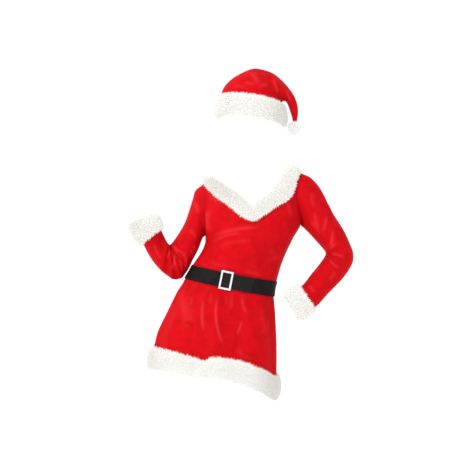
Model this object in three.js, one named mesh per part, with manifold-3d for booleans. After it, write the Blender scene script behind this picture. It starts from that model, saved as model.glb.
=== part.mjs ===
import * as THREE from "three";
import { mergeVertices } from "three/addons/utils/BufferGeometryUtils.js";
import Module from "manifold-3d";

// A festive costume on a general figure: a belted dress with plush trims, and its hat.
// Lengths are millimetres. X runs to the viewer's right, Y to the back and Z up.
// The origin lies between the wearer's shoulders. Left and right in names are the wearer's.

// Cloth and seams
const WALL = 2; // velour on its backing
const SEAM = 0.3; // gap between neighbouring pieces
const PROBE = 0.01; // step that finds how a surface lies
const SIDE_CURL = 90; // degrees that a panel turns from its middle to a side seam
const RING = 4; // once round the waist: two panels, each from -1 to 1
const FRONT = -1;
const BACK = 1;

// Plush trims: how far the pile stands off, and its least depth along an edge
const NECK_PILE = 14;
const CUFF_PILE = 17;
const HEM_PILE = 17;
const HAT_PILE = 19;
const EDGE_PILE = 3;
const POMPOM_RADIUS = 22;

// Belt and buckle
const BELT_HEIGHT = 53;
const STRAP_DEPTH = 2.4;
const BELT_STANDOFF = 1.4;
const BELT_UP = 0.155; // how far the belt reaches up the bodice's rows
const BELT_DOWN = 0.106; // and down the skirt's
const TAIL_LENGTH = 92; // how far the free end runs on past the buckle
const BUCKLE_WIDTH = 42.5;
const BUCKLE_HEIGHT = 64;
const BUCKLE_BAR = 6.5;
const BUCKLE_DEPTH = 3.6;
const BUCKLE_STANDOFF = 6.8;
const SLIDE_BAR = 4; // the bar behind the strap
const SLIDE_DEPTH = 1.8;
const SLIDE_CLEAR = 1; // its posts keep this far from the strap's edges
const STRAP_CLEAR = 5; // and the strap's ends this far from the bar
const BUCKLE_ACROSS = -0.083; // its place on the front, from -1 to 1
const BUCKLE_SIDE = 0.05; // how far to each side the waist is felt for its slope

// How full the chest and skirt are: 1 is an ellipse, less is squarer
const FULLNESS = 0.85;

// The dress above the waist seam. The side edges run up the side seams from the waist at 0
// to the armpits at 1, then round the armholes to the shoulder seams at 2. edge is how far
// an armhole's rim stands from the middle plane, front and back are the depths there, and
// curl is how many degrees the cloth has turned by its side edge.
const BODICE = [
  { at: 0, leftX: -218, leftZ: -336, rightX: 79, rightZ: -396,
    edge: 0, front: 100, back: 98, lift: 0, curl: 90 },
  { at: 0.2, leftX: -204, leftZ: -310, rightX: 88, rightZ: -364,
    edge: 0, front: 100, back: 98, lift: 0, curl: 90 },
  { at: 0.4, leftX: -189, leftZ: -288, rightX: 101, rightZ: -317,
    edge: 0, front: 108, back: 101, lift: 0, curl: 90 },
  { at: 0.6, leftX: -174, leftZ: -264, rightX: 119, rightZ: -272,
    edge: 0, front: 117, back: 104, lift: 0, curl: 90 },
  { at: 0.8, leftX: -164, leftZ: -238, rightX: 143, rightZ: -222,
    edge: 0, front: 125, back: 107, lift: 0, curl: 90 },
  { at: 1, leftX: -163, leftZ: -214, rightX: 169, rightZ: -176,
    edge: 0, front: 126, back: 109, lift: 2, curl: 88 },
  { at: 1.25, leftX: -163, leftZ: -180, rightX: 166, rightZ: -136,
    edge: 34, front: 119, back: 108, lift: 6, curl: 74 },
  { at: 1.5, leftX: -166, leftZ: -128, rightX: 155, rightZ: -90,
    edge: 54, front: 100, back: 98, lift: 14, curl: 64 },
  { at: 1.75, leftX: -162, leftZ: -72, rightX: 152, rightZ: -36,
    edge: 46, front: 70, back: 72, lift: 24, curl: 60 },
  { at: 1.92, leftX: -169, leftZ: -41, rightX: 165, rightZ: -2,
    edge: 20, front: 29, back: 30, lift: 30, curl: 60 },
  { at: 2, leftX: -172, leftZ: -34, rightX: 172, rightZ: 6,
    edge: 0, front: 0, back: 0, lift: 32, curl: 60 },
];

// The skirt, from the waist seam at 0 to the lower edge of its cloth at 1 and that of its
// trim at 1.25. lift raises the middle of the front, drop lowers that of the back.
const SKIRT = [
  { at: 0, leftX: -218, leftZ: -336, rightX: 79, rightZ: -396, front: 100, back: 98, lift: 0, drop: 0 },
  { at: 0.1, leftX: -233, leftZ: -360, rightX: 76, rightZ: -423, front: 100, back: 98, lift: 0, drop: 0 },
  { at: 0.17, leftX: -242, leftZ: -378, rightX: 77, rightZ: -443, front: 105, back: 105, lift: 1, drop: 0 },
  { at: 0.3, leftX: -262, leftZ: -415, rightX: 79, rightZ: -480, front: 123, back: 126, lift: 5, drop: 0 },
  { at: 0.55, leftX: -298, leftZ: -487, rightX: 84, rightZ: -560, front: 142, back: 150, lift: 11, drop: 0 },
  { at: 0.8, leftX: -329, leftZ: -553, rightX: 86, rightZ: -645, front: 156, back: 167, lift: 17, drop: -3 },
  { at: 1, leftX: -343, leftZ: -614, rightX: 84, rightZ: -716, front: 165, back: 177, lift: 22, drop: -9 },
  { at: 1.25, leftX: -353, leftZ: -676, rightX: 77, rightZ: -784,
    front: 171, back: 184, lift: 27, drop: -17 },
];
// How much more the front's hemline rises, across the panel: a fold breaks the cloth's edge,
// and the trim's own lower edge runs smoother
const HEM_RISE = [
  { at: -1, rise: 0, below: 0 },
  { at: -0.6, rise: -3, below: -4 },
  { at: -0.2, rise: -8, below: 0 },
  { at: -0.085, rise: -11, below: 4 },
  { at: -0.03, rise: 5, below: 9 },
  { at: 0.1, rise: 13, below: 15 },
  { at: 0.28, rise: 17, below: 13 },
  { at: 0.5, rise: 7, below: 6 },
  { at: 0.75, rise: -7, below: -7 },
  { at: 1, rise: 0, below: 0 },
];
const RISE_FROM = 0.5; // it grows from here to the end of the cloth
const WAIST_GAP = 0.003; // the panels start this far from the waist seam
const SKIRT_CLOTH_END = 1;
const HEM_FROM = 0.94;
const HEM_TO = 1.25;

// Folds that the skirt hangs in, as ridges from a place near the belt to one at the hem
const SKIRT_FRONT_FOLDS = [
  { fromAcross: -0.85, fromAlong: 0.2, toAcross: -0.8, toAlong: 1.3, width: 0.09, height: 6 },
  { fromAcross: -0.55, fromAlong: 0.25, toAcross: -0.5, toAlong: 1.3, width: 0.12, height: 9 },
  { fromAcross: -0.36, fromAlong: 0.14, toAcross: -0.2, toAlong: 0.75, width: 0.07, height: 7 },
  { fromAcross: -0.27, fromAlong: 0.6, toAcross: -0.16, toAlong: 1.3, width: 0.06, height: -8 },
  { fromAcross: -0.13, fromAlong: 0.14, toAcross: -0.06, toAlong: 0.5, width: 0.06, height: 8 },
  { fromAcross: -0.06, fromAlong: 0.5, toAcross: 0.05, toAlong: 1.3, width: 0.09, height: 9 },
  { fromAcross: 0.22, fromAlong: 0.14, toAcross: 0.34, toAlong: 0.6, width: 0.07, height: 6 },
  { fromAcross: 0.27, fromAlong: 0.5, toAcross: 0.2, toAlong: 0.95, width: 0.06, height: -5 },
  { fromAcross: 0.5, fromAlong: 0.2, toAcross: 0.55, toAlong: 1.3, width: 0.13, height: 8 },
  { fromAcross: 0.82, fromAlong: 0.2, toAcross: 0.8, toAlong: 1.3, width: 0.09, height: 6 },
];
const SKIRT_BACK_FOLDS = [
  { fromAcross: -0.78, fromAlong: 0.2, toAcross: -0.74, toAlong: 1.3, width: 0.1, height: 8 },
  { fromAcross: -0.45, fromAlong: 0.15, toAcross: -0.4, toAlong: 1.3, width: 0.1, height: 9 },
  { fromAcross: -0.16, fromAlong: 0.3, toAcross: -0.2, toAlong: 1.3, width: 0.08, height: -7 },
  { fromAcross: 0.04, fromAlong: 0.15, toAcross: 0, toAlong: 1.3, width: 0.1, height: 10 },
  { fromAcross: 0.36, fromAlong: 0.15, toAcross: 0.4, toAlong: 1.3, width: 0.09, height: 8 },
  { fromAcross: 0.7, fromAlong: 0.2, toAcross: 0.72, toAlong: 1.3, width: 0.11, height: 9 },
];

const FOLDS_FROM = 0.11; // the folds begin below the belt
const FOLDS_FULL = 0.3; // and have their whole height here
const FOLD_FREE_EDGE = 0.175; // they flatten out towards the side seams

// Gathers where the skirt is drawn in under the belt, fading out below it
const GATHERS = 8;
const GATHER_HEIGHT = 2.4;
const GATHER_FROM = 0.12;
const GATHER_RISE = 0.08; // they grow to their height over this much of the skirt
const GATHER_FADE = 0.22;
const GATHER_SLOW = 3.3; // the gathers run larger and smaller along the waist
const GATHER_UNEVEN = 0.4;

// The plush band of the neck, from the right shoulder at 0 down to the point of the V at 5
// and up to the left shoulder at 11: where its two edges lie on the bodice.
const NECKLINE = [
  { at: 0, innerAcross: -0.74, innerUp: 2, outerAcross: -0.955, outerUp: 2 },
  { at: 1, innerAcross: -0.62, innerUp: 1.88, outerAcross: -0.91, outerUp: 1.82 },
  { at: 2, innerAcross: -0.42, innerUp: 1.73, outerAcross: -0.7, outerUp: 1.65 },
  { at: 3, innerAcross: -0.19, innerUp: 1.6, outerAcross: -0.41, outerUp: 1.487 },
  { at: 4, innerAcross: -0.06, innerUp: 1.5, outerAcross: -0.17, outerUp: 1.285 },
  { at: 5, innerAcross: 0.006, innerUp: 1.457, outerAcross: 0.01, outerUp: 1.184 },
  { at: 6, innerAcross: 0.13, innerUp: 1.495, outerAcross: 0.19, outerUp: 1.268 },
  { at: 7, innerAcross: 0.28, innerUp: 1.56, outerAcross: 0.44, outerUp: 1.385 },
  { at: 8, innerAcross: 0.42, innerUp: 1.66, outerAcross: 0.72, outerUp: 1.485 },
  { at: 9, innerAcross: 0.55, innerUp: 1.79, outerAcross: 0.93, outerUp: 1.635 },
  { at: 10, innerAcross: 0.61, innerUp: 1.91, outerAcross: 0.985, outerUp: 1.8 },
  { at: 11, innerAcross: 0.64, innerUp: 2, outerAcross: 0.985, outerUp: 2 },
];
const NECK_STEPS = 11;
const NECK_GAP = 1.3; // its backing stands this far off the cloth
const BACK_DIP = 0.05; // the back of the neckline is cut this much lower at its middle
const BACK_DIP_REACH = 0.5; // and has that depth this far below the shoulders

// A sleeve's rows run from the armhole to the end of its cuff. outer and inner are the
// two sides of the tube as seen from the front, midY and halfY its middle and half depth.
const SLEEVE_LEFT = [
  { at: 0, outerX: 172, outerZ: 6, innerX: 169, innerZ: -176, midY: 0, halfY: 54 },
  { at: 0.08, outerX: 204, outerZ: -9, innerX: 172, innerZ: -178, midY: 0, halfY: 58 },
  { at: 0.18, outerX: 232, outerZ: -38, innerX: 177, innerZ: -182, midY: 0, halfY: 60 },
  { at: 0.28, outerX: 252, outerZ: -71, innerX: 184, innerZ: -188, midY: 0, halfY: 60 },
  { at: 0.42, outerX: 276, outerZ: -122, innerX: 199, innerZ: -203, midY: 0, halfY: 58 },
  { at: 0.62, outerX: 318, outerZ: -189, innerX: 231, innerZ: -238, midY: 0, halfY: 52 },
  { at: 0.8, outerX: 341, outerZ: -237, innerX: 252, innerZ: -262, midY: 0, halfY: 50 },
  { at: 0.93, outerX: 354, outerZ: -274, innerX: 259, innerZ: -273, midY: 0, halfY: 50 },
  { at: 1.03, outerX: 351, outerZ: -308, innerX: 259, innerZ: -280, midY: -2, halfY: 50 },
  { at: 1.16, outerX: 325, outerZ: -352, innerX: 251, innerZ: -291, midY: -5, halfY: 49 },
  { at: 1.32, outerX: 294, outerZ: -386, innerX: 233, innerZ: -315, midY: -10, halfY: 46 },
  { at: 1.48, outerX: 264, outerZ: -416, innerX: 207, innerZ: -346, midY: -14, halfY: 44 },
  { at: 1.66, outerX: 234, outerZ: -449, innerX: 181, innerZ: -379, midY: -18, halfY: 43 },
  { at: 1.76, outerX: 214, outerZ: -466, innerX: 165, innerZ: -393, midY: -20, halfY: 43 },
  { at: 1.98, outerX: 156, outerZ: -500, innerX: 115, innerZ: -427, midY: -24, halfY: 43 },
];
const SLEEVE_RIGHT = [
  { at: 0, outerX: -172, outerZ: -34, innerX: -163, innerZ: -214, midY: 0, halfY: 54 },
  { at: 0.06, outerX: -197, outerZ: -54, innerX: -167, innerZ: -215, midY: 0, halfY: 56 },
  { at: 0.14, outerX: -207, outerZ: -84, innerX: -170, innerZ: -217, midY: 0, halfY: 57 },
  { at: 0.24, outerX: -216, outerZ: -112, innerX: -173, innerZ: -221, midY: 0, halfY: 56 },
  { at: 0.38, outerX: -232, outerZ: -160, innerX: -179, innerZ: -236, midY: 0, halfY: 54 },
  { at: 0.52, outerX: -249, outerZ: -193, innerX: -188, innerZ: -260, midY: 0, halfY: 52 },
  { at: 0.64, outerX: -262, outerZ: -213, innerX: -199, innerZ: -281, midY: 2, halfY: 51 },
  { at: 0.74, outerX: -272, outerZ: -227, innerX: -210, innerZ: -302, midY: 4, halfY: 51 },
  { at: 0.84, outerX: -279, outerZ: -236, innerX: -221, innerZ: -325, midY: 6, halfY: 51 },
  { at: 0.94, outerX: -283, outerZ: -241, innerX: -234, innerZ: -346, midY: 8, halfY: 50 },
  { at: 1.04, outerX: -286, outerZ: -243.5, innerX: -250, innerZ: -361, midY: 8, halfY: 50 },
  { at: 1.14, outerX: -289, outerZ: -244, innerX: -270, innerZ: -365, midY: 6, halfY: 50 },
  { at: 1.24, outerX: -292, outerZ: -242, innerX: -294, innerZ: -354, midY: 0, halfY: 49 },
  { at: 1.36, outerX: -297, outerZ: -234, innerX: -322, innerZ: -330, midY: -12, halfY: 47 },
  { at: 1.48, outerX: -303, outerZ: -221, innerX: -347, innerZ: -298, midY: -24, halfY: 44 },
  { at: 1.6, outerX: -310, outerZ: -206, innerX: -365, innerZ: -267, midY: -36, halfY: 41 },
  { at: 1.7, outerX: -317, outerZ: -189, innerX: -378, innerZ: -240, midY: -44, halfY: 40 },
  { at: 1.93, outerX: -350, outerZ: -134, innerX: -421, innerZ: -168, midY: -62, halfY: 40 },
];
const SLEEVE_CLOTH_END = { left: 1.82, right: 1.76 };
const CUFF_FROM = { left: 1.74, right: 1.69 };
const CUFF_TO = { left: 1.98, right: 1.93 };
const ARMHOLE_BLEND = 0.3; // how far down the sleeve the armhole's own shape reaches
const RING_GAP = 0.5; // the sleeve starts this far off the armhole

// Creases of the sleeves, as ridges: across is the share of the way round, from the inner
// side over the front to the outer side at 0.5 and on over the back
const CREASES_LEFT = [
  { fromAcross: 0.42, fromAlong: 0.4, toAcross: 0.16, toAlong: 0.78, width: 0.05, height: 4 },
  { fromAcross: 0.4, fromAlong: 0.62, toAcross: 0.06, toAlong: 0.9, width: 0.045, height: 4 },
  { fromAcross: 0.36, fromAlong: 1, toAcross: 0.04, toAlong: 0.98, width: 0.045, height: 4 },
  { fromAcross: 0.33, fromAlong: 1.2, toAcross: 0.04, toAlong: 1.08, width: 0.045, height: 3.5 },
  { fromAcross: 0.62, fromAlong: 0.5, toAcross: 0.9, toAlong: 0.86, width: 0.05, height: 4 },
  { fromAcross: 0.66, fromAlong: 1.05, toAcross: 0.94, toAlong: 1, width: 0.05, height: 4 },
];
const CREASES_RIGHT = [
  { fromAcross: 0.4, fromAlong: 0.72, toAcross: 0.12, toAlong: 0.7, width: 0.04, height: 3.5 },
  { fromAcross: 0.42, fromAlong: 0.9, toAcross: 0.08, toAlong: 0.86, width: 0.04, height: 4 },
  { fromAcross: 0.43, fromAlong: 1.02, toAcross: 0.05, toAlong: 1.02, width: 0.04, height: 4.5 },
  { fromAcross: 0.43, fromAlong: 1.16, toAcross: 0.06, toAlong: 1.17, width: 0.04, height: 4.5 },
  { fromAcross: 0.4, fromAlong: 1.3, toAcross: 0.12, toAlong: 1.33, width: 0.04, height: 3.5 },
  { fromAcross: 0.6, fromAlong: 0.86, toAcross: 0.9, toAlong: 0.84, width: 0.045, height: 4 },
  { fromAcross: 0.58, fromAlong: 1.1, toAcross: 0.94, toAlong: 1.12, width: 0.045, height: 4.5 },
];

// The hat, from the lower edge of its plush band to the tip of the crown, which bends over
// to the left: outer is the long side over the top, inner the side within the bend. The rim
// dips at its sides: lift and backLift raise its front and its back.
const HAT = [
  { at: 0, outerX: -114, outerZ: 200, innerX: 108, innerZ: 169, halfY: 116, lift: 7, backLift: 36 },
  { at: 1, outerX: -109, outerZ: 272, innerX: 98, innerZ: 242, halfY: 112, lift: 11, backLift: 28 },
  { at: 1.5, outerX: -99, outerZ: 304, innerX: 102, innerZ: 251, halfY: 107, lift: 10, backLift: 22 },
  { at: 2, outerX: -72, outerZ: 333, innerX: 105.5, innerZ: 254, halfY: 99, lift: 8, backLift: 16 },
  { at: 2.5, outerX: -33, outerZ: 357, innerX: 109, innerZ: 255.5, halfY: 90, lift: 5, backLift: 10 },
  { at: 3, outerX: 4, outerZ: 371, innerX: 112, innerZ: 256, halfY: 80, lift: 2, backLift: 4 },
  { at: 3.5, outerX: 41, outerZ: 367, innerX: 115, innerZ: 256, halfY: 68, lift: 0, backLift: 0 },
  { at: 4, outerX: 77, outerZ: 353, innerX: 118, innerZ: 255.5, halfY: 55, lift: 0, backLift: 0 },
  { at: 4.5, outerX: 107, outerZ: 329, innerX: 121.5, innerZ: 253.5, halfY: 43, lift: 0, backLift: 0 },
  { at: 5, outerX: 133, outerZ: 299, innerX: 126, innerZ: 245, halfY: 33, lift: 0, backLift: 0 },
  { at: 5.5, outerX: 151, outerZ: 269, innerX: 131, innerZ: 231, halfY: 25, lift: 0, backLift: 0 },
  { at: 6, outerX: 160, outerZ: 239, innerX: 135.5, innerZ: 217, halfY: 18, lift: 0, backLift: 0 },
  { at: 6.5, outerX: 161, outerZ: 214, innerX: 139, innerZ: 206, halfY: 13, lift: 0, backLift: 0 },
  { at: 7, outerX: 157, outerZ: 186, innerX: 143.2, innerZ: 188, halfY: 7, lift: 0, backLift: 0 },
];
const HAT_CREASES = [
  { fromAcross: 0.04, fromAlong: 2.4, toAcross: 0.3, toAlong: 1.5, width: 0.06, height: -5 },
  { fromAcross: 0.04, fromAlong: 3.4, toAcross: 0.36, toAlong: 3.1, width: 0.06, height: -5 },
  { fromAcross: 0.06, fromAlong: 4.4, toAcross: 0.4, toAlong: 4.6, width: 0.06, height: -4 },
  { fromAcross: 0.94, fromAlong: 2.8, toAcross: 0.66, toAlong: 2, width: 0.07, height: -5 },
  { fromAcross: 0.94, fromAlong: 3.8, toAcross: 0.62, toAlong: 3.8, width: 0.06, height: -4 },
];
const HAT_ALONG_SHARE = 0.12; // a step along the hat, as a share of the way round it
const CROWN_FROM = 0.7;
const CROWN_TO = 7;
const HAT_BAND_TO = 1.02;
const POMPOM = new THREE.Vector3(147, 0, 165.5);

// How finely each piece is divided
const SHOULDER_COLUMNS = 3; // columns of the bodice between the neck band and an armhole
const NECK_HALF_COLUMNS = 8; // and from there to its middle
const SIDE_SEAM_ROWS = 4; // its rows below the armpit
const ARMHOLE_ROWS = 10; // and along each half of an armhole, as many as the sleeve has there
const SKIRT_COLUMNS = 40;
const SKIRT_ROWS = [0.12, 0.18, 0.27, 0.38, 0.52, 0.66, 0.8];
const SLEEVE_COLUMNS = 2 * ARMHOLE_ROWS;
const SLEEVE_ROWS = 18;
const TRIM_ROWS = 4;
const NECK_COLUMNS = 44;
const STRAP_COLUMNS = 60;
const CROWN_COLUMNS = 24;
const CROWN_ROWS = 12;
const POMPOM_DETAIL = 3;

const SLOTS = {
  velour: { color: 0xd5131c, roughness: 0.85, metalness: 0 },
  plush: { color: 0xf4f2ec, roughness: 0.95, metalness: 0 },
  strap: { color: 0x1f1e1f, roughness: 0.55, metalness: 0 },
  metal: { color: 0xd9dadc, roughness: 0.25, metalness: 1 },
};

const mix = (a, b, share) => a + (b - a) * share;
const clamp = (value, low, high) => Math.min(high, Math.max(low, value));
const wrap = (value, length) => ((value % length) + length) % length;
const smooth = (share) => {
  const s = clamp(share, 0, 1);
  return s * s * (3 - 2 * s);
};

// How fast a column changes at a row of a table.
function slopeAt(rows, index, key) {
  const before = rows[Math.max(index - 1, 0)];
  const after = rows[Math.min(index + 1, rows.length - 1)];
  return (after[key] - before[key]) / (after.at - before.at);
}

// A table's row at any place, each column on a smooth curve through the rows.
function rowAt(rows, at) {
  let index = 0;
  while (index < rows.length - 2 && at > rows[index + 1].at) index += 1;
  const here = rows[index];
  const next = rows[index + 1];
  const step = next.at - here.at;
  const t = (at - here.at) / step;
  const t2 = t * t;
  const t3 = t2 * t;
  const row = {};
  for (const key of Object.keys(here)) {
    row[key] =
      (2 * t3 - 3 * t2 + 1) * here[key] +
      (t3 - 2 * t2 + t) * step * slopeAt(rows, index, key) +
      (3 * t2 - 2 * t3) * next[key] +
      (t3 - t2) * step * slopeAt(rows, index + 1, key);
  }
  return row;
}

// How far a list of ridges lifts a surface at one place.
function relief(ridges, across, along) {
  let height = 0;
  for (const ridge of ridges) {
    const runAcross = ridge.toAcross - ridge.fromAcross;
    const runAlong = ridge.toAlong - ridge.fromAlong;
    const offAcross = across - ridge.fromAcross;
    const offAlong = along - ridge.fromAlong;
    const length2 = runAcross ** 2 + runAlong ** 2;
    const t = clamp((offAcross * runAcross + offAlong * runAlong) / length2, 0, 1);
    const away = Math.hypot(offAcross - t * runAcross, offAlong - t * runAlong);
    height += ridge.height * Math.exp(-((away / ridge.width) ** 2));
  }
  return height;
}

// A surface's normal, from how its points lie around one place.
function normalOf(surface, across, along) {
  const alongAcross = surface.point(across + PROBE, along).sub(surface.point(across - PROBE, along));
  const alongLength = surface.point(across, along + PROBE).sub(surface.point(across, along - PROBE));
  return alongAcross.cross(alongLength).normalize().multiplyScalar(surface.facing);
}

const normalAt = (surface) => (across, along) => normalOf(surface, across, along);

// The same surface with folds: each point is moved out by what height gives there.
function folded(surface, height) {
  return {
    facing: surface.facing,
    point: (across, along) =>
      surface
        .point(across, along)
        .addScaledVector(normalOf(surface, across, along), height(across, along)),
  };
}

// One side of the dress between its left and right edges. across runs from -1 to 1.
function shellPoint(row, side, across) {
  const curl = THREE.MathUtils.degToRad(row.curl);
  const wide = Math.sin(across * curl) / Math.sin(curl);
  const bulge = (Math.cos(across * curl) - Math.cos(curl)) / (1 - Math.cos(curl));
  const deep = Math.sign(bulge) * Math.abs(bulge) ** FULLNESS;
  const depth = side === FRONT ? row.front : row.back;
  return new THREE.Vector3(
    mix(row.leftX, row.rightX, (1 + wide) / 2),
    side * (SEAM / 2 + row.edge + (depth - row.edge) * deep),
    mix(row.leftZ, row.rightZ, (1 + wide) / 2) + row.lift * deep,
  );
}

function bodiceSurface(side) {
  return {
    facing: -side,
    point: (across, up) => shellPoint(rowAt(BODICE, up), side, across),
  };
}

function gathers(across, along) {
  const uneven = 1 - GATHER_UNEVEN + GATHER_UNEVEN * Math.sin(GATHER_SLOW * (across + 1));
  const below = along - GATHER_FROM;
  const fade = smooth(below / GATHER_RISE) * Math.exp(-((below / GATHER_FADE) ** 2));
  const wave = (1 - Math.cos(across * GATHERS * Math.PI)) / 2;
  return GATHER_HEIGHT * uneven * fade * wave;
}

function skirtSurface(side) {
  const plain = {
    facing: side,
    point: (across, down) => {
      const row = rowAt(SKIRT, down);
      row.edge = 0;
      row.curl = SIDE_CURL;
      if (side === BACK) row.lift = -row.drop;
      const point = shellPoint(row, side, across);
      const grown = smooth((down - RISE_FROM) / (SKIRT_CLOTH_END - RISE_FROM));
      const lower = smooth((down - HEM_FROM) / (HEM_TO - HEM_FROM));
      const hem = rowAt(HEM_RISE, across);
      if (side === FRONT) point.z += mix(hem.rise, hem.below, lower) * grown;
      return point;
    },
  };
  const ridges = side === FRONT ? SKIRT_FRONT_FOLDS : SKIRT_BACK_FOLDS;
  return folded(plain, (across, down) => {
    const inside = smooth((1 - Math.abs(across)) / FOLD_FREE_EDGE);
    const grown = smooth((down - FOLDS_FROM) / (FOLDS_FULL - FOLDS_FROM));
    return inside * (relief(ridges, across, down) * grown + gathers(across, down));
  });
}

// The skirt as one ring: across runs from -1 over the front to 1, and over the back to 3.
function ringOf(surfaceOf) {
  const front = surfaceOf(FRONT);
  const back = surfaceOf(BACK);
  return {
    facing: front.facing,
    point: (across, along) => {
      const turned = wrap(across + 1, RING) - 1;
      return turned <= 1 ? front.point(turned, along) : back.point(2 - turned, along);
    },
  };
}

// The rim of an armhole: turn runs from the armpit at 0 over the front to the shoulder
// seam at pi and back over the shoulder blade.
function armholePoint(end, turn) {
  const front = turn <= Math.PI;
  const up = 1 + (front ? turn : 2 * Math.PI - turn) / Math.PI;
  return shellPoint(rowAt(BODICE, up), front ? FRONT : BACK, end);
}

function tubePoint(row, turn) {
  const toInner = Math.cos(turn);
  const toFront = Math.sin(turn);
  const lift = toFront > 0 ? (row.lift ?? 0) : -(row.backLift ?? 0);
  return new THREE.Vector3(
    mix(row.outerX, row.innerX, (1 + toInner) / 2),
    row.midY - row.halfY * toFront,
    mix(row.outerZ, row.innerZ, (1 + toInner) / 2) + lift * toFront,
  );
}

function sleeveSurface(rows, end, creases) {
  const start = rowAt(rows, 0);
  const plain = {
    facing: -end,
    point: (across, along) => {
      const turn = wrap(across, 1) * 2 * Math.PI;
      const point = tubePoint(rowAt(rows, along), turn);
      const share = 1 - smooth(along / ARMHOLE_BLEND);
      const armhole = armholePoint(end, turn).sub(tubePoint(start, turn));
      armhole.x += end * RING_GAP;
      return point.addScaledVector(armhole, share);
    },
  };
  return folded(plain, (across, along) => relief(creases, wrap(across, 1), along));
}

function hatSurface() {
  const plain = {
    facing: -1,
    point: (across, along) => {
      const row = rowAt(HAT, along);
      row.midY = 0;
      return tubePoint(row, across * 2 * Math.PI);
    },
  };
  const share = HAT_ALONG_SHARE;
  const ridges = HAT_CREASES.map((ridge) => ({
    ...ridge,
    fromAlong: ridge.fromAlong * share,
    toAlong: ridge.toAlong * share,
  }));
  return folded(plain, (across, along) => relief(ridges, wrap(across, 1), along * share));
}

// The neck band's own surface lies on the bodice: across runs from its inner edge at 0 to
// its outer edge at 1, along from the right shoulder over the front and round the back.
function neckPlace(across, along) {
  const turned = wrap(along, 2 * NECK_STEPS);
  const front = turned <= NECK_STEPS;
  const row = rowAt(NECKLINE, front ? turned : 2 * NECK_STEPS - turned);
  const up = mix(row.innerUp, row.outerUp, across);
  const dip = front ? 0 : BACK_DIP * smooth((2 - up) / BACK_DIP_REACH);
  return {
    side: front ? FRONT : BACK,
    across: mix(row.innerAcross, row.outerAcross, across),
    up: up - dip,
  };
}

function neckSurface() {
  const sides = { [FRONT]: bodiceSurface(FRONT), [BACK]: bodiceSurface(BACK) };
  return {
    point: (across, along) => {
      const place = neckPlace(across, along);
      return sides[place.side].point(place.across, place.up);
    },
    normal: (across, along) => {
      const place = neckPlace(across, along);
      return normalOf(sides[place.side], place.across, place.up);
    },
  };
}

// How high the bodice's cloth reaches at a place across it: half-way under the neck band.
function neckEdge(side, across) {
  const places = [];
  for (let step = 0; step <= NECK_STEPS; step += 1) {
    places.push(neckPlace(1 / 2, side === FRONT ? step : 2 * NECK_STEPS - step));
  }
  for (let step = 0; step < NECK_STEPS; step += 1) {
    const here = places[step];
    const next = places[step + 1];
    if (across >= here.across && across <= next.across) {
      return mix(here.up, next.up, (across - here.across) / (next.across - here.across));
    }
  }
  return 2;
}

// Joins an outer and an inner grid of points into one closed wall. Rows run along, and a
// loop's rows close on themselves.
function closedWall(outer, inner, loop = false) {
  const rows = outer.length;
  const columns = outer[0].length;
  const positions = [];
  for (const grid of [outer, inner]) {
    for (const row of grid) for (const point of row) positions.push(point);
  }
  const index = [];
  const place = (layer, row, column) => (layer * rows + row) * columns + (column % columns);
  const quad = (a, b, c, d) => index.push(a, b, c, a, c, d);
  const lastColumn = loop ? columns : columns - 1;
  for (let r = 0; r < rows - 1; r += 1) {
    for (let c = 0; c < lastColumn; c += 1) {
      quad(place(0, r, c), place(0, r, c + 1), place(0, r + 1, c + 1), place(0, r + 1, c));
      quad(place(1, r, c), place(1, r + 1, c), place(1, r + 1, c + 1), place(1, r, c + 1));
    }
  }
  const end = rows - 1;
  for (let c = 0; c < lastColumn; c += 1) {
    quad(place(0, 0, c + 1), place(0, 0, c), place(1, 0, c), place(1, 0, c + 1));
    quad(place(0, end, c), place(0, end, c + 1), place(1, end, c + 1), place(1, end, c));
  }
  const side = columns - 1;
  for (let r = 0; r < end && !loop; r += 1) {
    quad(place(0, r, 0), place(0, r + 1, 0), place(1, r + 1, 0), place(1, r, 0));
    quad(place(0, r + 1, side), place(0, r, side), place(1, r, side), place(1, r + 1, side));
  }
  return { positions, index };
}

function enclosedVolume({ positions, index }) {
  let volume = 0;
  const cross = new THREE.Vector3();
  for (let i = 0; i < index.length; i += 3) {
    cross.crossVectors(positions[index[i + 1]], positions[index[i + 2]]);
    volume += positions[index[i]].dot(cross) / 6;
  }
  return volume;
}

const part = new THREE.Group();
part.name = "festive_costume";

function addPiece(name, slot, solid) {
  if (enclosedVolume(solid) < 0) solid.index.reverse();
  const geometry = new THREE.BufferGeometry().setFromPoints(solid.positions);
  geometry.setIndex(solid.index);
  geometry.computeVertexNormals();
  const mesh = new THREE.Mesh(geometry, new THREE.MeshStandardMaterial(SLOTS[slot]));
  mesh.name = name;
  part.add(mesh);
}

// Keeps a point of the front or back on its own side of the middle plane's seam.
const onSide = (side) => (point) => {
  point.y = side * Math.max(side * point.y, SEAM / 2);
  return point;
};

// Two grids of points on a surface, at the distances that outer and inner give. A row of
// each lies at every one of alongs.
function layersOn(surface, columns, alongs, placeOf, [outer, inner], keep = (point) => point) {
  const grids = [[], []];
  for (const step of alongs) {
    const rows = [[], []];
    for (let c = 0; c < columns; c += 1) {
      const [across, along] = placeOf(c, step);
      const point = surface.point(across, along);
      const normal = (surface.normal ?? normalAt(surface))(across, along);
      rows[0].push(keep(point.clone().addScaledVector(normal, outer(step))));
      rows[1].push(keep(point.clone().addScaledVector(normal, inner(step))));
    }
    grids[0].push(rows[0]);
    grids[1].push(rows[1]);
  }
  return grids;
}

const steps = (from, to, count) => Array.from({ length: count + 1 }, (_, i) => mix(from, to, i / count));
const cloth = [() => 0, () => -WALL];

// A plush trim that is thickest along its middle, between two rows of its surface.
const pile = (depth, from, to, gap = SEAM) => {
  const fromMiddle = (step) => Math.abs((2 * (step - from)) / (to - from) - 1);
  const high = (step) => gap + EDGE_PILE + (depth - EDGE_PILE) * (1 - fromMiddle(step) ** 3);
  return [high, () => gap];
};

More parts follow.
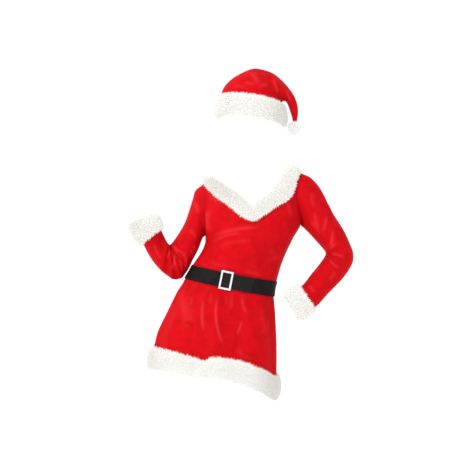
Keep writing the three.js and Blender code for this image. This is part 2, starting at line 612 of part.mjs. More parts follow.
// Bodice: two panels whose columns reach up to the neck band or the shoulder seam
function bodiceColumns(side) {
  const right = neckPlace(1 / 2, side === FRONT ? 0 : 2 * NECK_STEPS).across;
  const left = neckPlace(1 / 2, NECK_STEPS).across;
  const columns = [];
  const add = (from, to, count) => {
    for (let i = 0; i < count; i += 1) columns.push(mix(from, to, i / count));
  };
  add(-1, right, SHOULDER_COLUMNS);
  add(right, 0, NECK_HALF_COLUMNS);
  add(0, left, NECK_HALF_COLUMNS);
  add(left, 1, SHOULDER_COLUMNS);
  columns.push(1);
  return columns;
}

for (const [name, side] of [["bodice_front", FRONT], ["bodice_back", BACK]]) {
  const columns = bodiceColumns(side);
  const placeOf = (c, share) => [columns[c], mix(WAIST_GAP, neckEdge(side, columns[c]), share)];
  const rows = [...steps(0, 1 / 2, SIDE_SEAM_ROWS), ...steps(1 / 2, 1, ARMHOLE_ROWS).slice(1)];
  const [outer, inner] = layersOn(bodiceSurface(side), columns.length, rows, placeOf, cloth, onSide(side));
  addPiece(name, "velour", closedWall(outer, inner));
}

// Skirt: two gathered panels
const acrossPanel = (c) => mix(-1, 1, c / SKIRT_COLUMNS);
for (const [name, side] of [["skirt_front", FRONT], ["skirt_back", BACK]]) {
  const placeOf = (c, down) => [acrossPanel(c), down];
  const rows = [WAIST_GAP, ...SKIRT_ROWS, HEM_FROM, SKIRT_CLOTH_END];
  const [outer, inner] = layersOn(skirtSurface(side), SKIRT_COLUMNS + 1, rows, placeOf, cloth, onSide(side));
  addPiece(name, "velour", closedWall(outer, inner));
}

// Hem band, on the skirt's own columns
{
  const placeOf = (c, down) => [acrossPanel(c), down];
  const rows = [HEM_FROM, ...steps(SKIRT_CLOTH_END, HEM_TO, TRIM_ROWS)];
  const depth = pile(HEM_PILE, HEM_FROM, HEM_TO);
  const [outer, inner] = layersOn(ringOf(skirtSurface), 2 * SKIRT_COLUMNS, rows, placeOf, depth);
  addPiece("hem_band", "plush", closedWall(outer, inner, true));
}

// Sleeves and their plush cuffs, which lie on the sleeves' own columns
for (const [hand, rows, end, creases] of [
  ["left", SLEEVE_LEFT, 1, CREASES_LEFT],
  ["right", SLEEVE_RIGHT, -1, CREASES_RIGHT],
]) {
  const surface = sleeveSurface(rows, end, creases);
  const placeOf = (c, along) => [c / SLEEVE_COLUMNS, along];
  const from = CUFF_FROM[hand];
  const to = CUFF_TO[hand];
  const clothEnd = SLEEVE_CLOTH_END[hand];
  const sleeveRows = [...steps(0, from, SLEEVE_ROWS), clothEnd];
  const [outer, inner] = layersOn(surface, SLEEVE_COLUMNS, sleeveRows, placeOf, cloth);
  addPiece(`sleeve_${hand}`, "velour", closedWall(outer, inner, true));
  const cuffRows = [from, ...steps(clothEnd, to, TRIM_ROWS)];
  const depth = pile(CUFF_PILE, from, to);
  const [furOuter, furInner] = layersOn(surface, SLEEVE_COLUMNS, cuffRows, placeOf, depth);
  addPiece(`cuff_${hand}`, "plush", closedWall(furOuter, furInner, true));
}

// Neck band: its rows are steps across the plush, its columns run round the neckline
{
  const placeOf = (c, share) => [share, (c / NECK_COLUMNS) * 2 * NECK_STEPS];
  const depth = pile(NECK_PILE, 0, 1, NECK_GAP);
  const [outer, inner] = layersOn(neckSurface(), NECK_COLUMNS, steps(0, 1, TRIM_ROWS), placeOf, depth);
  addPiece("neck_band", "plush", closedWall(outer, inner, true));
}

// The belt lies round the waist seam, above it on the bodice and below it on the skirt. up
// runs from -1/2 at its lower edge to 1/2 at its upper one.
const waistSides = [FRONT, BACK].map((side) => [bodiceSurface(side), skirtSurface(side)]);
const waist = {
  facing: 1,
  point: (across, up) => {
    const turned = wrap(across + 1, RING) - 1;
    const [bodice, skirt] = waistSides[turned <= 1 ? 0 : 1];
    const place = turned <= 1 ? turned : 2 - turned;
    return up > 0 ? bodice.point(place, up * 2 * BELT_UP) : skirt.point(place, -up * 2 * BELT_DOWN);
  },
};

function waistAcross(from, distance) {
  let across = from;
  let left = Math.abs(distance);
  const step = PROBE * Math.sign(distance);
  while (left > 0) {
    left -= waist.point(across, 0).distanceTo(waist.point(across + step, 0));
    across += step;
  }
  return across;
}

{
  const start = waistAcross(BUCKLE_ACROSS, SLIDE_BAR / 2 + STRAP_CLEAR);
  const meets = waistAcross(BUCKLE_ACROSS, -SLIDE_BAR / 2 - STRAP_CLEAR) + RING;
  const rises = waistAcross(BUCKLE_ACROSS, -BUCKLE_WIDTH / 2) + RING;
  const ends = waistAcross(BUCKLE_ACROSS, TAIL_LENGTH) + RING;
  const standoff = (across) =>
    BELT_STANDOFF + (STRAP_DEPTH + SEAM) * smooth((across - rises) / (meets - rises));
  const acrossOf = (share) => mix(start, ends, share);
  const grids = [[], []];
  for (let c = 0; c <= STRAP_COLUMNS; c += 1) {
    grids[0].push([]);
    grids[1].push([]);
    const across = acrossOf(c / STRAP_COLUMNS);
    for (const up of [-1 / 2, 0, 1 / 2]) {
      const point = waist.point(across, up);
      const normal = normalOf(waist, across, 0);
      grids[0][c].push(point.clone().addScaledVector(normal, standoff(across) + STRAP_DEPTH));
      grids[1][c].push(point.clone().addScaledVector(normal, standoff(across)));
    }
  }
  addPiece("belt_strap", "strap", closedWall(grids[0], grids[1]));
}

// Buckle: a flat frame with a bar behind the strap, turned to lie on the waist
{
  const wasm = await Module();
  wasm.setup();
  const box = (width, depth, height, x, y, z) => {
    const geometry = new THREE.BoxGeometry(width, depth, height).translate(x, y, z);
    geometry.deleteAttribute("normal");
    geometry.deleteAttribute("uv");
    const merged = mergeVertices(geometry);
    const vertProperties = merged.getAttribute("position").array;
    const triVerts = Uint32Array.from(merged.index.array);
    return new wasm.Manifold(new wasm.Mesh({ numProp: 3, vertProperties, triVerts }));
  };
  const frameY = BUCKLE_STANDOFF + BUCKLE_DEPTH / 2;
  const slideY = BELT_STANDOFF + SLIDE_DEPTH / 2;
  const window = box(
    BUCKLE_WIDTH - 2 * BUCKLE_BAR,
    2 * BUCKLE_DEPTH,
    BUCKLE_HEIGHT - 2 * BUCKLE_BAR,
    0,
    frameY,
    0,
  );
  const reach = (BUCKLE_HEIGHT - BUCKLE_BAR) / 2;
  const postDepth = BUCKLE_STANDOFF - slideY + BUCKLE_DEPTH / 2;
  let buckle = box(BUCKLE_WIDTH, BUCKLE_DEPTH, BUCKLE_HEIGHT, 0, frameY, 0).subtract(window);
  buckle = buckle.add(box(SLIDE_BAR, SLIDE_DEPTH, 2 * reach, 0, slideY, 0));
  for (const end of [-1, 1]) {
    const length = reach - BELT_HEIGHT / 2 - SLIDE_CLEAR;
    const middle = end * (reach - length / 2);
    buckle = buckle.add(box(SLIDE_BAR, postDepth, length, 0, slideY + postDepth / 2, middle));
  }
  const edges = [-1 / 2, 1 / 2].map((up) => waist.point(BUCKLE_ACROSS, up));
  const seat = edges[0].add(edges[1]).divideScalar(2);
  const out = normalOf(waist, BUCKLE_ACROSS, 0);
  const left = waist.point(BUCKLE_ACROSS - BUCKLE_SIDE, 0);
  const right = waist.point(BUCKLE_ACROSS + BUCKLE_SIDE, 0).sub(left).projectOnPlane(out).normalize();
  const turn = new THREE.Matrix4().makeBasis(right, out, new THREE.Vector3().crossVectors(right, out));
  turn.setPosition(seat);
  const mesh = buckle.getMesh();
  const positions = [];
  for (let i = 0; i < mesh.numVert; i += 1) {
    const [x, y, z] = mesh.vertProperties.subarray(i * mesh.numProp, i * mesh.numProp + 3);
    positions.push(new THREE.Vector3(x, y, z).applyMatrix4(turn));
  }
  addPiece("buckle", "metal", { positions, index: Array.from(mesh.triVerts) });
}

// Hat: a crown that bends over, a plush band on its columns and a pompom at its tip
{
  const surface = hatSurface();
  const placeOf = (c, along) => [c / CROWN_COLUMNS, along];
  const crownRows = [CROWN_FROM, ...steps(HAT_BAND_TO, CROWN_TO, CROWN_ROWS)];
  const [outer, inner] = layersOn(surface, CROWN_COLUMNS, crownRows, placeOf, cloth);
  addPiece("hat_crown", "velour", closedWall(outer, inner, true));
  const bandRows = [...steps(0, CROWN_FROM, TRIM_ROWS), HAT_BAND_TO];
  const depth = pile(HAT_PILE, 0, HAT_BAND_TO);
  const [furOuter, furInner] = layersOn(surface, CROWN_COLUMNS, bandRows, placeOf, depth);
  addPiece("hat_band", "plush", closedWall(furOuter, furInner, true));
  const ball = new THREE.IcosahedronGeometry(POMPOM_RADIUS, POMPOM_DETAIL);
  ball.translate(POMPOM.x, POMPOM.y, POMPOM.z);
  const mesh = new THREE.Mesh(ball, new THREE.MeshStandardMaterial(SLOTS.plush));
  mesh.name = "hat_pompom";
  part.add(mesh);
}

export default part;
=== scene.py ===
import math

import bmesh
import bpy
import numpy as np
from bpy.props import FloatProperty, FloatVectorProperty, IntProperty, PointerProperty
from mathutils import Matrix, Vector


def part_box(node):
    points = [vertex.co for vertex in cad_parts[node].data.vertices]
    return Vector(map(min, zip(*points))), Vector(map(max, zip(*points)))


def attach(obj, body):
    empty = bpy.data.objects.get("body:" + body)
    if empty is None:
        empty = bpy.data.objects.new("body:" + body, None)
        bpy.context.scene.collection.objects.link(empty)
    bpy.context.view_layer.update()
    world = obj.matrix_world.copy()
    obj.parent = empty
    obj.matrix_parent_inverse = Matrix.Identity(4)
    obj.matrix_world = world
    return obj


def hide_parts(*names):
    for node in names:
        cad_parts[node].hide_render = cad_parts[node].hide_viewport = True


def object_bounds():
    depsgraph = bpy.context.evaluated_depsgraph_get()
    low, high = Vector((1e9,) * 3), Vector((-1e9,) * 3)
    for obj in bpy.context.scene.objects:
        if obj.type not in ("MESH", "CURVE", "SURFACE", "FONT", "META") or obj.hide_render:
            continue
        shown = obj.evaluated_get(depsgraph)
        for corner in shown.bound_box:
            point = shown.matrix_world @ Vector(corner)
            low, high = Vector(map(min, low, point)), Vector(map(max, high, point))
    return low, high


bl_info = {
    "name": "Festive costume",
    "version": (1, 0, 0),
    "blender": (4, 5, 0),
    "location": "View3D > Sidebar > Costume",
    "description": "Dresses the solids of a belted costume dress and its hat in velour and plush",
    "category": "Object",
}

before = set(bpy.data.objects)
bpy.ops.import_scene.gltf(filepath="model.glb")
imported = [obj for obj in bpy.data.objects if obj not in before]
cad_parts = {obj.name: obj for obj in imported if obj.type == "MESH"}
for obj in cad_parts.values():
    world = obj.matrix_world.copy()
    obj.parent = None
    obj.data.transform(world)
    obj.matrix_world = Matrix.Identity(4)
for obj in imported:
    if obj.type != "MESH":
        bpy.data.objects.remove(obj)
CAD_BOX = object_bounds()
MM = 0.001
FRONT = -1
BACK = 1


def table(columns, *rows):
    """A table with named columns, one row for each section or fold."""
    return dict(zip(columns.split(), np.array(rows, float).T))


# The garment's own sizes, in millimetres, are those of its solids. X runs to the viewer's
# right, Y to the back and Z up. Left and right in names are the wearer's.
WALL = 2
SEAM = 0.3
FULLNESS = 0.85  # the power of a side's bulge: below 1 it is fuller
SIDE_CURL = 90  # how far the skirt's section curls to its sides, in degrees
RING = 4  # once round: -1 to 1 over the front, 1 to 3 over the back
PROBE = 0.004  # the small step that slopes are measured over

# The bodice, from the waist seam at 0 up the side seams to the armpits at 1 and round the
# armholes to the shoulder seams at 2
BODICE = table(
    "at left_x left_z right_x right_z edge front back lift curl",
    (0, -218, -336, 79, -396, 0, 100, 98, 0, 90),
    (0.2, -204, -310, 88, -364, 0, 100, 98, 0, 90),
    (0.4, -189, -288, 101, -317, 0, 108, 101, 0, 90),
    (0.6, -174, -264, 119, -272, 0, 117, 104, 0, 90),
    (0.8, -164, -238, 143, -222, 0, 125, 107, 0, 90),
    (1, -163, -214, 169, -176, 0, 126, 109, 2, 88),
    (1.25, -163, -180, 166, -136, 34, 119, 108, 6, 74),
    (1.5, -166, -128, 155, -90, 54, 100, 98, 14, 64),
    (1.75, -162, -72, 152, -36, 46, 70, 72, 24, 60),
    (1.92, -169, -41, 165, -2, 20, 29, 30, 30, 60),
    (2, -172, -34, 172, 6, 0, 0, 0, 32, 60),
)

# The skirt, from the waist seam at 0 to the end of its cloth at 1 and of its trim at 1.25
SKIRT = table(
    "at left_x left_z right_x right_z front back lift drop",
    (0, -218, -336, 79, -396, 100, 98, 0, 0),
    (0.1, -233, -360, 76, -423, 100, 98, 0, 0),
    (0.17, -242, -378, 77, -443, 105, 105, 1, 0),
    (0.3, -262, -415, 79, -480, 123, 126, 5, 0),
    (0.55, -298, -487, 84, -560, 142, 150, 11, 0),
    (0.8, -329, -553, 86, -645, 156, 167, 17, -3),
    (1, -343, -614, 84, -716, 165, 177, 22, -9),
    (1.25, -353, -676, 77, -784, 171, 184, 27, -17),
)
# How much more the front's hemline rises, across the panel: a fold breaks the cloth's edge,
# and the trim's own lower edge runs smoother
HEM_RISE = table(
    "at rise below",
    (-1, 0, 0),
    (-0.6, -3, -4),
    (-0.2, -8, 0),
    (-0.085, -11, 4),
    (-0.03, 5, 9),
    (0.1, 13, 15),
    (0.28, 17, 13),
    (0.5, 7, 6),
    (0.75, -7, -7),
    (1, 0, 0),
)
RISE_FROM = 0.5  # the rise grows from here down to the end of the cloth
SKIRT_CLOTH_END = 1
WAIST_GAP = 0.003  # the cloth starts this far from the waist seam
HEM_FROM = 0.94  # the trim lies between these two
HEM_TO = 1.25

RIDGE = "from_across from_along to_across to_along width height"
SKIRT_FRONT_FOLDS = table(
    RIDGE,
    (-0.85, 0.2, -0.8, 1.3, 0.09, 6),
    (-0.55, 0.25, -0.5, 1.3, 0.12, 9),
    (-0.36, 0.14, -0.2, 0.75, 0.07, 7),
    (-0.27, 0.6, -0.16, 1.3, 0.06, -8),
    (-0.13, 0.14, -0.06, 0.5, 0.06, 8),
    (-0.06, 0.5, 0.05, 1.3, 0.09, 9),
    (0.22, 0.14, 0.34, 0.6, 0.07, 6),
    (0.27, 0.5, 0.2, 0.95, 0.06, -5),
    (0.5, 0.2, 0.55, 1.3, 0.13, 8),
    (0.82, 0.2, 0.8, 1.3, 0.09, 6),
)
SKIRT_BACK_FOLDS = table(
    RIDGE,
    (-0.78, 0.2, -0.74, 1.3, 0.1, 8),
    (-0.45, 0.15, -0.4, 1.3, 0.1, 9),
    (-0.16, 0.3, -0.2, 1.3, 0.08, -7),
    (0.04, 0.15, 0, 1.3, 0.1, 10),
    (0.36, 0.15, 0.4, 1.3, 0.09, 8),
    (0.7, 0.2, 0.72, 1.3, 0.11, 9),
)
FOLDS_FROM = 0.11  # the folds grow between these two
FOLDS_FULL = 0.3
FOLD_FREE_EDGE = 0.175  # folds and gathers run out this far before a side seam

# Gathers under the belt: the solids' own, and the finer ones between them
GATHERS = 8
GATHER_HEIGHT = 2.4
GATHER_FROM = 0.12
GATHER_RISE = 0.08
GATHER_FADE = 0.22
GATHER_SLOW = 3.3
GATHER_UNEVEN = 0.4
FINE_GATHERS = 31
FINE_HEIGHT = 0.9
FINE_EVEN = 0.55
FINE_UNEVEN = 0.45
FINE_FADE = 0.13
FINE_FADE_LEAST = 0.6
# The fine ones change in height and in spacing, by slow waves across the panel
SWELL_PACE = 9.1
SWELL_SHIFT = 1.3
SWELL_SHIFT_PACE = 4.3
SPACING_SHIFT = 1.7
SPACING_SHIFT_PACE = 5.3

# Where the two edges of the neck's plush band lie on the bodice
NECKLINE = table(
    "at inner_across inner_up outer_across outer_up",
    (0, -0.74, 2, -0.955, 2),
    (1, -0.62, 1.88, -0.91, 1.82),
    (2, -0.42, 1.73, -0.7, 1.65),
    (3, -0.19, 1.6, -0.41, 1.487),
    (4, -0.06, 1.5, -0.17, 1.285),
    (5, 0.006, 1.457, 0.01, 1.184),
    (6, 0.13, 1.495, 0.19, 1.268),
    (7, 0.28, 1.56, 0.44, 1.385),
    (8, 0.42, 1.66, 0.72, 1.485),
    (9, 0.55, 1.79, 0.93, 1.635),
    (10, 0.61, 1.91, 0.985, 1.8),
    (11, 0.64, 2, 0.985, 2),
)
NECK_STEPS = 11
NECK_SAMPLES = 12  # places looked up in each step of the neckline
NECK_GAP = 1.3  # the band stands this far off the bodice
BACK_DIP = 0.05  # away from the shoulder seams the back's band lies this much lower
BACK_DIP_REACH = 0.5

# The sleeves, from the armhole to the end of the cuff
TUBE = "at outer_x outer_z inner_x inner_z mid_y half_y"
SLEEVE_LEFT = table(
    TUBE,
    (0, 172, 6, 169, -176, 0, 54),
    (0.08, 204, -9, 172, -178, 0, 58),
    (0.18, 232, -38, 177, -182, 0, 60),
    (0.28, 252, -71, 184, -188, 0, 60),
    (0.42, 276, -122, 199, -203, 0, 58),
    (0.62, 318, -189, 231, -238, 0, 52),
    (0.8, 341, -237, 252, -262, 0, 50),
    (0.93, 354, -274, 259, -273, 0, 50),
    (1.03, 351, -308, 259, -280, -2, 50),
    (1.16, 325, -352, 251, -291, -5, 49),
    (1.32, 294, -386, 233, -315, -10, 46),
    (1.48, 264, -416, 207, -346, -14, 44),
    (1.66, 234, -449, 181, -379, -18, 43),
    (1.76, 214, -466, 165, -393, -20, 43),
    (1.98, 156, -500, 115, -427, -24, 43),
)
SLEEVE_RIGHT = table(
    TUBE,
    (0, -172, -34, -163, -214, 0, 54),
    (0.06, -197, -54, -167, -215, 0, 56),
    (0.14, -207, -84, -170, -217, 0, 57),
    (0.24, -216, -112, -173, -221, 0, 56),
    (0.38, -232, -160, -179, -236, 0, 54),
    (0.52, -249, -193, -188, -260, 0, 52),
    (0.64, -262, -213, -199, -281, 2, 51),
    (0.74, -272, -227, -210, -302, 4, 51),
    (0.84, -279, -236, -221, -325, 6, 51),
    (0.94, -283, -241, -234, -346, 8, 50),
    (1.04, -286, -243.5, -250, -361, 8, 50),
    (1.14, -289, -244, -270, -365, 6, 50),
    (1.24, -292, -242, -294, -354, 0, 49),
    (1.36, -297, -234, -322, -330, -12, 47),
    (1.48, -303, -221, -347, -298, -24, 44),
    (1.6, -310, -206, -365, -267, -36, 41),
    (1.7, -317, -189, -378, -240, -44, 40),
    (1.93, -350, -134, -421, -168, -62, 40),
)
ARMHOLE_BLEND = 0.3  # the armhole's shape passes into the tube's over this much of a sleeve
RING_GAP = 0.5  # a sleeve starts this far out from its armhole
SLEEVE_RIDGES_LEFT = table(
    RIDGE,
    (0.42, 0.4, 0.16, 0.78, 0.05, 4),
    (0.4, 0.62, 0.06, 0.9, 0.045, 4),
    (0.36, 1, 0.04, 0.98, 0.045, 4),
    (0.33, 1.2, 0.04, 1.08, 0.045, 3.5),
    (0.62, 0.5, 0.9, 0.86, 0.05, 4),
    (0.66, 1.05, 0.94, 1, 0.05, 4),
)
SLEEVE_RIDGES_RIGHT = table(
    RIDGE,
    (0.4, 0.72, 0.12, 0.7, 0.04, 3.5),
    (0.42, 0.9, 0.08, 0.86, 0.04, 4),
    (0.43, 1.02, 0.05, 1.02, 0.04, 4.5),
    (0.43, 1.16, 0.06, 1.17, 0.04, 4.5),
    (0.4, 1.3, 0.12, 1.33, 0.04, 3.5),
    (0.6, 0.86, 0.9, 0.84, 0.045, 4),
    (0.58, 1.1, 0.94, 1.12, 0.045, 4.5),
)
# end is the side of the bodice that a sleeve joins, cloth where its velour ends, and cuff
# where its plush band lies
SLEEVES = {
    "left": {
        "rows": SLEEVE_LEFT,
        "ridges": SLEEVE_RIDGES_LEFT,
        "end": 1,
        "cloth": 1.82,
        "cuff": (1.74, 1.98),
    },
    "right": {
        "rows": SLEEVE_RIGHT,
        "ridges": SLEEVE_RIDGES_RIGHT,
        "end": -1,
        "cloth": 1.76,
        "cuff": (1.69, 1.93),
    },
}

# The hat, from the lower edge of its band to the tip that bends over to the left
HAT = table(
    "at outer_x outer_z inner_x inner_z mid_y half_y lift back_lift",
    (0, -114, 200, 108, 169, 0, 116, 7, 36),
    (1, -109, 272, 98, 242, 0, 112, 11, 28),
    (1.5, -99, 304, 102, 251, 0, 107, 10, 22),
    (2, -72, 333, 105.5, 254, 0, 99, 8, 16),
    (2.5, -33, 357, 109, 255.5, 0, 90, 5, 10),
    (3, 4, 371, 112, 256, 0, 80, 2, 4),
    (3.5, 41, 367, 115, 256, 0, 68, 0, 0),
    (4, 77, 353, 118, 255.5, 0, 55, 0, 0),
    (4.5, 107, 329, 121.5, 253.5, 0, 43, 0, 0),
    (5, 133, 299, 126, 245, 0, 33, 0, 0),
    (5.5, 151, 269, 131, 231, 0, 25, 0, 0),
    (6, 160, 239, 135.5, 217, 0, 18, 0, 0),
    (6.5, 161, 214, 139, 206, 0, 13, 0, 0),
    (7, 157, 186, 143.2, 188, 0, 7, 0, 0),
)
HAT_RIDGES = table(
    RIDGE,
    (0.04, 2.4, 0.3, 1.5, 0.06, -5),
    (0.04, 3.4, 0.36, 3.1, 0.06, -5),
    (0.06, 4.4, 0.4, 4.6, 0.06, -4),
    (0.94, 2.8, 0.66, 2, 0.07, -5),
    (0.94, 3.8, 0.62, 3.8, 0.06, -4),
)
HAT_ALONG_SHARE = 0.12  # one step along the hat counts as this much round it
CROWN_FROM = 0.7  # the crown's velour lies between these two
CROWN_TO = 7
HAT_BAND_TO = 1.02

# The belt lies round the waist seam
STRAP_DEPTH = 2.4
BELT_STANDOFF = 1.4
BELT_UP = 0.155  # how far it reaches up the bodice
BELT_DOWN = 0.106  # how far it reaches down the skirt
TAIL_LENGTH = 92
BUCKLE_WIDTH = 42.5
SLIDE_BAR = 4
STRAP_CLEAR = 5
BUCKLE_ACROSS = -0.083

# Creases as they lie in the front view: from one end to the other, bowed sideways by bow.
# They rise steeply on one side and fall softly on the other.
CREASE = "from_x from_z to_x to_z bow width height"
BODICE_CREASES = table(
    CREASE,
    (-143, -217, 33, -185, 9, 7, 2),
    (-138, -237, -31, -206, 10, 7, 1.6),
    (-128, -258, 10, -232, 10, 10, 0.8),
    (-154, -118, -150, -206, -6, 13, 2.4),
    (-140, -78, -124, -104, 3, 6, 1.6),
    (-152, -72, -138, -96, 2, 5, 1.2),
    (132, -88, 148, -150, 5, 9, -1.8),
    (118, -96, 128, -146, 3, 8, 1.2),
    (-150, -300, -60, -322, -6, 9, 0.9),
    (-30, -330, 40, -352, -4, 10, 1),
    (60, -250, 90, -300, -5, 12, 0.9),
    (-180, -310, -120, -328, -3, 6, 1),
)
SKIRT_CREASES = table(
    CREASE,
    (-118, -412, -97, -584, -16, 5, 3.4),
    (-165, -424, -164, -541, -7, 6.5, 2.6),
    (-35, -421, -18, -478, -6, 5.5, 2.4),
    (-34, -496, -54, -550, 0, 5.5, 2.4),
    (-240, -420, -224, -536, 4, 22, 1.5),
    (-240, -506, -186, -530, 6, 7, -1.8),
    (-70, -418, -74, -466, 1, 7, 1.3),
    (-206, -414, -212, -452, 1, 6, 1.4),
    (-142, -404, -146, -446, 1, 5, 1.4),
    (-92, -410, -90, -448, 1, 5, 1.2),
    (26, -446, 36, -560, 5, 10, 0.6),
    (52, -470, 62, -610, 5, 9, -1.8),
    (-60, -590, 4, -640, -5, 9, 0.9),
)
BACK_CREASES = table(
    CREASE,
    (-120, -240, -20, -214, 8, 9, 1.5),
    (-40, -262, 90, -236, -6, 10, 1.4),
    (-148, -300, -60, -318, -6, 8, 1.2),
    (-10, -318, 70, -300, 5, 9, 1.2),
    (-132, -60, -146, -150, -6, 12, 1.8),
    (134, -60, 146, -140, 6, 10, 1.6),
    (-190, -420, -206, -540, 6, 7, 2.2),
    (-112, -416, -120, -520, -4, 6, 2.4),
    (-30, -430, -24, -560, 6, 7, 2.2),
    (30, -440, 42, -540, 4, 8, 1.8),
    (-250, -470, -262, -560, 5, 10, 2),
    (-70, -500, -80, -640, 5, 7, 1.8),
)
SLEEVE_CREASES_RIGHT = table(
    CREASE,
    (-268, -272, -262, -322, -4, 4.5, 2.8),
    (-288, -262, -296, -292, 2, 4.5, 2.4),
    (-262, -256, -240, -306, 8, 5, 2),
    (-250, -266, -240, -340, 6, 4.5, -2.2),
    (-243, -262, -228, -332, 6, 4.5, 2.2),
    (-254, -290, -244, -350, 4, 4, 1.8),
    (-280, -246, -258, -276, 4, 6, 2.2),
    (-207, -246, -196, -268, 3, 6, 1.8),
    (-216, -262, -206, -286, 3, 5, 1.8),
    (-338, -238, -310, -296, -5, 6, 1.6),
    (-318, -226, -296, -262, 3, 6, 1.4),
    (-204, -96, -188, -140, 5, 9, 1.4),
    (-226, -190, -192, -226, 5, 8, 1.2),
    (-272, -300, -282, -330, 3, 6, 1.4),
)
SLEEVE_CREASES_LEFT = table(
    CREASE,
    (254, -138, 238, -206, 5, 7, 2),
    (214, -124, 230, -194, -4, 7, 1.6),
    (276, -190, 264, -256, 5, 7, 2.2),
    (292, -236, 268, -262, -3, 6, 1.6),
    (270, -276, 322, -292, 4, 6, 1.8),
    (262, -292, 306, -326, -4, 6, 1.8),
    (228, -316, 212, -344, 3, 6, 1.6),
    (286, -330, 262, -366, 4, 7, 1.4),
    (204, -60, 216, -118, -5, 9, 1.4),
    (196, -160, 236, -214, 5, 8, 1.4),
    (190, -384, 214, -410, 3, 6, 1.3),
)
HAT_CREASES = table(
    CREASE,
    (-26, 350, -38, 306, 4, 7, -2.2),
    (-16, 356, 20, 300, 6, 9, 2),
    (-40, 318, 14, 306, -4, 7, 1.8),
    (58, 344, 72, 282, -6, 7, -2.8),
    (74, 338, 92, 276, -6, 6, 2.4),
    (96, 312, 100, 268, -4, 5, -2.4),
    (-70, 300, -20, 290, 3, 7, 1.4),
    (20, 292, 60, 304, 4, 7, 1.5),
    (120, 300, 136, 252, -4, 5, 1.8),
    (138, 262, 146, 218, -2, 4, -1.4),
)


# Curves and surfaces

def smooth(share):
    s = np.clip(share, 0, 1)
    return s * s * (3 - 2 * s)


def wrap(value, length):
    return np.mod(value, length)


def mix(a, b, share):
    return a + (b - a) * share


def row_at(rows, at):
    """Every column of a table at any places, on smooth curves through its rows."""
    at = np.asarray(at, float)
    places = rows["at"]
    last = len(places) - 1
    index = np.clip(np.searchsorted(places, at) - 1, 0, last - 1)
    step = places[index + 1] - places[index]
    t = (at - places[index]) / step
    before = np.maximum(np.arange(last + 1) - 1, 0)
    after = np.minimum(np.arange(last + 1) + 1, last)
    found = {}
    for name, column in rows.items():
        slope = (column[after] - column[before]) / (places[after] - places[before])
        found[name] = (
            (2 * t**3 - 3 * t**2 + 1) * column[index]
            + (t**3 - 2 * t**2 + t) * step * slope[index]
            + (3 * t**2 - 2 * t**3) * column[index + 1]
            + (t**3 - t**2) * step * slope[index + 1]
        )
    return found


def relief(ridges, across, along, along_share=1):
    """How far a list of ridges lifts a surface, in its own across and along."""
    height = np.zeros(np.broadcast(across, along).shape)
    for i in range(len(ridges["width"])):
        run_across = ridges["to_across"][i] - ridges["from_across"][i]
        run_along = (ridges["to_along"][i] - ridges["from_along"][i]) * along_share
        off_across = across - ridges["from_across"][i]
        off_along = (along - ridges["from_along"][i]) * along_share
        t = np.clip((off_across * run_across + off_along * run_along) / (run_across**2 + run_along**2), 0, 1)
        away = np.hypot(off_across - t * run_across, off_along - t * run_along)
        height = height + ridges["height"][i] * np.exp(-((away / ridges["width"][i]) ** 2))
    return height


CREASE_END = 0.28  # a crease runs out over this share of its length
STEEP_SIDE = 0.6


def creased(creases, points):
    """How far creases drawn in the front view lift the points of a surface."""
    x, z = points[..., 0], points[..., 2]
    height = np.zeros(x.shape)
    for i in range(len(creases["width"])):
        run = np.array([creases["to_x"][i] - creases["from_x"][i], creases["to_z"][i] - creases["from_z"][i]])
        length = np.hypot(*run)
        off_x = x - creases["from_x"][i]
        off_z = z - creases["from_z"][i]
        t = (off_x * run[0] + off_z * run[1]) / length**2
        aside = (off_z * run[0] - off_x * run[1]) / length - 4 * creases["bow"][i] * t * (1 - t)
        width = creases["width"][i] * np.where(aside > 0, 1, STEEP_SIDE)
        ends = smooth(t / CREASE_END) * smooth((1 - t) / CREASE_END)
        height += creases["height"][i] * ends * np.exp(-((aside / width) ** 2))
    return height


class Surface:
    """A sheet in space, given by a function of across and along."""

    def __init__(self, point, facing):
        self.point = point
        self.facing = facing

    def tangents(self, across, along):
        over = self.point(across + PROBE, along) - self.point(across - PROBE, along)
        down = self.point(across, along + PROBE) - self.point(across, along - PROBE)
        return unit(over), unit(down)

    def normal(self, across, along):
        over, down = self.tangents(across, along)
        return unit(np.cross(over, down)) * self.facing

    def lifted(self, height):
        """The same sheet, moved out by what height gives at each place."""

        def point(across, along):
            lift = height(across, along)[..., None]
            return self.point(across, along) + self.normal(across, along) * lift

        return Surface(point, self.facing)


def unit(vectors):
    return vectors / np.maximum(np.linalg.norm(vectors, axis=-1, keepdims=True), 1e-9)


def shell_point(row, side, across):
    """One side of the dress between its left and right edges."""
    curl = np.radians(row["curl"])
    wide = np.sin(across * curl) / np.sin(curl)
    bulge = (np.cos(across * curl) - np.cos(curl)) / (1 - np.cos(curl))
    deep = np.sign(bulge) * np.abs(bulge) ** FULLNESS
    depth = row["front"] if side == FRONT else row["back"]
    return np.stack(
        [
            mix(row["left_x"], row["right_x"], (1 + wide) / 2),
            side * (SEAM / 2 + row["edge"] + (depth - row["edge"]) * deep),
            mix(row["left_z"], row["right_z"], (1 + wide) / 2) + row["lift"] * deep,
        ],
        axis=-1,
    )


def bodice_surface(side):
    return Surface(lambda across, up: shell_point(row_at(BODICE, up), side, across), -side)


def gathers(across, along):
    uneven = 1 - GATHER_UNEVEN + GATHER_UNEVEN * np.sin(GATHER_SLOW * (across + 1))
    below = along - GATHER_FROM
    fade = smooth(below / GATHER_RISE) * np.exp(-((below / GATHER_FADE) ** 2))
    return GATHER_HEIGHT * uneven * fade * (1 - np.cos(across * GATHERS * math.pi)) / 2


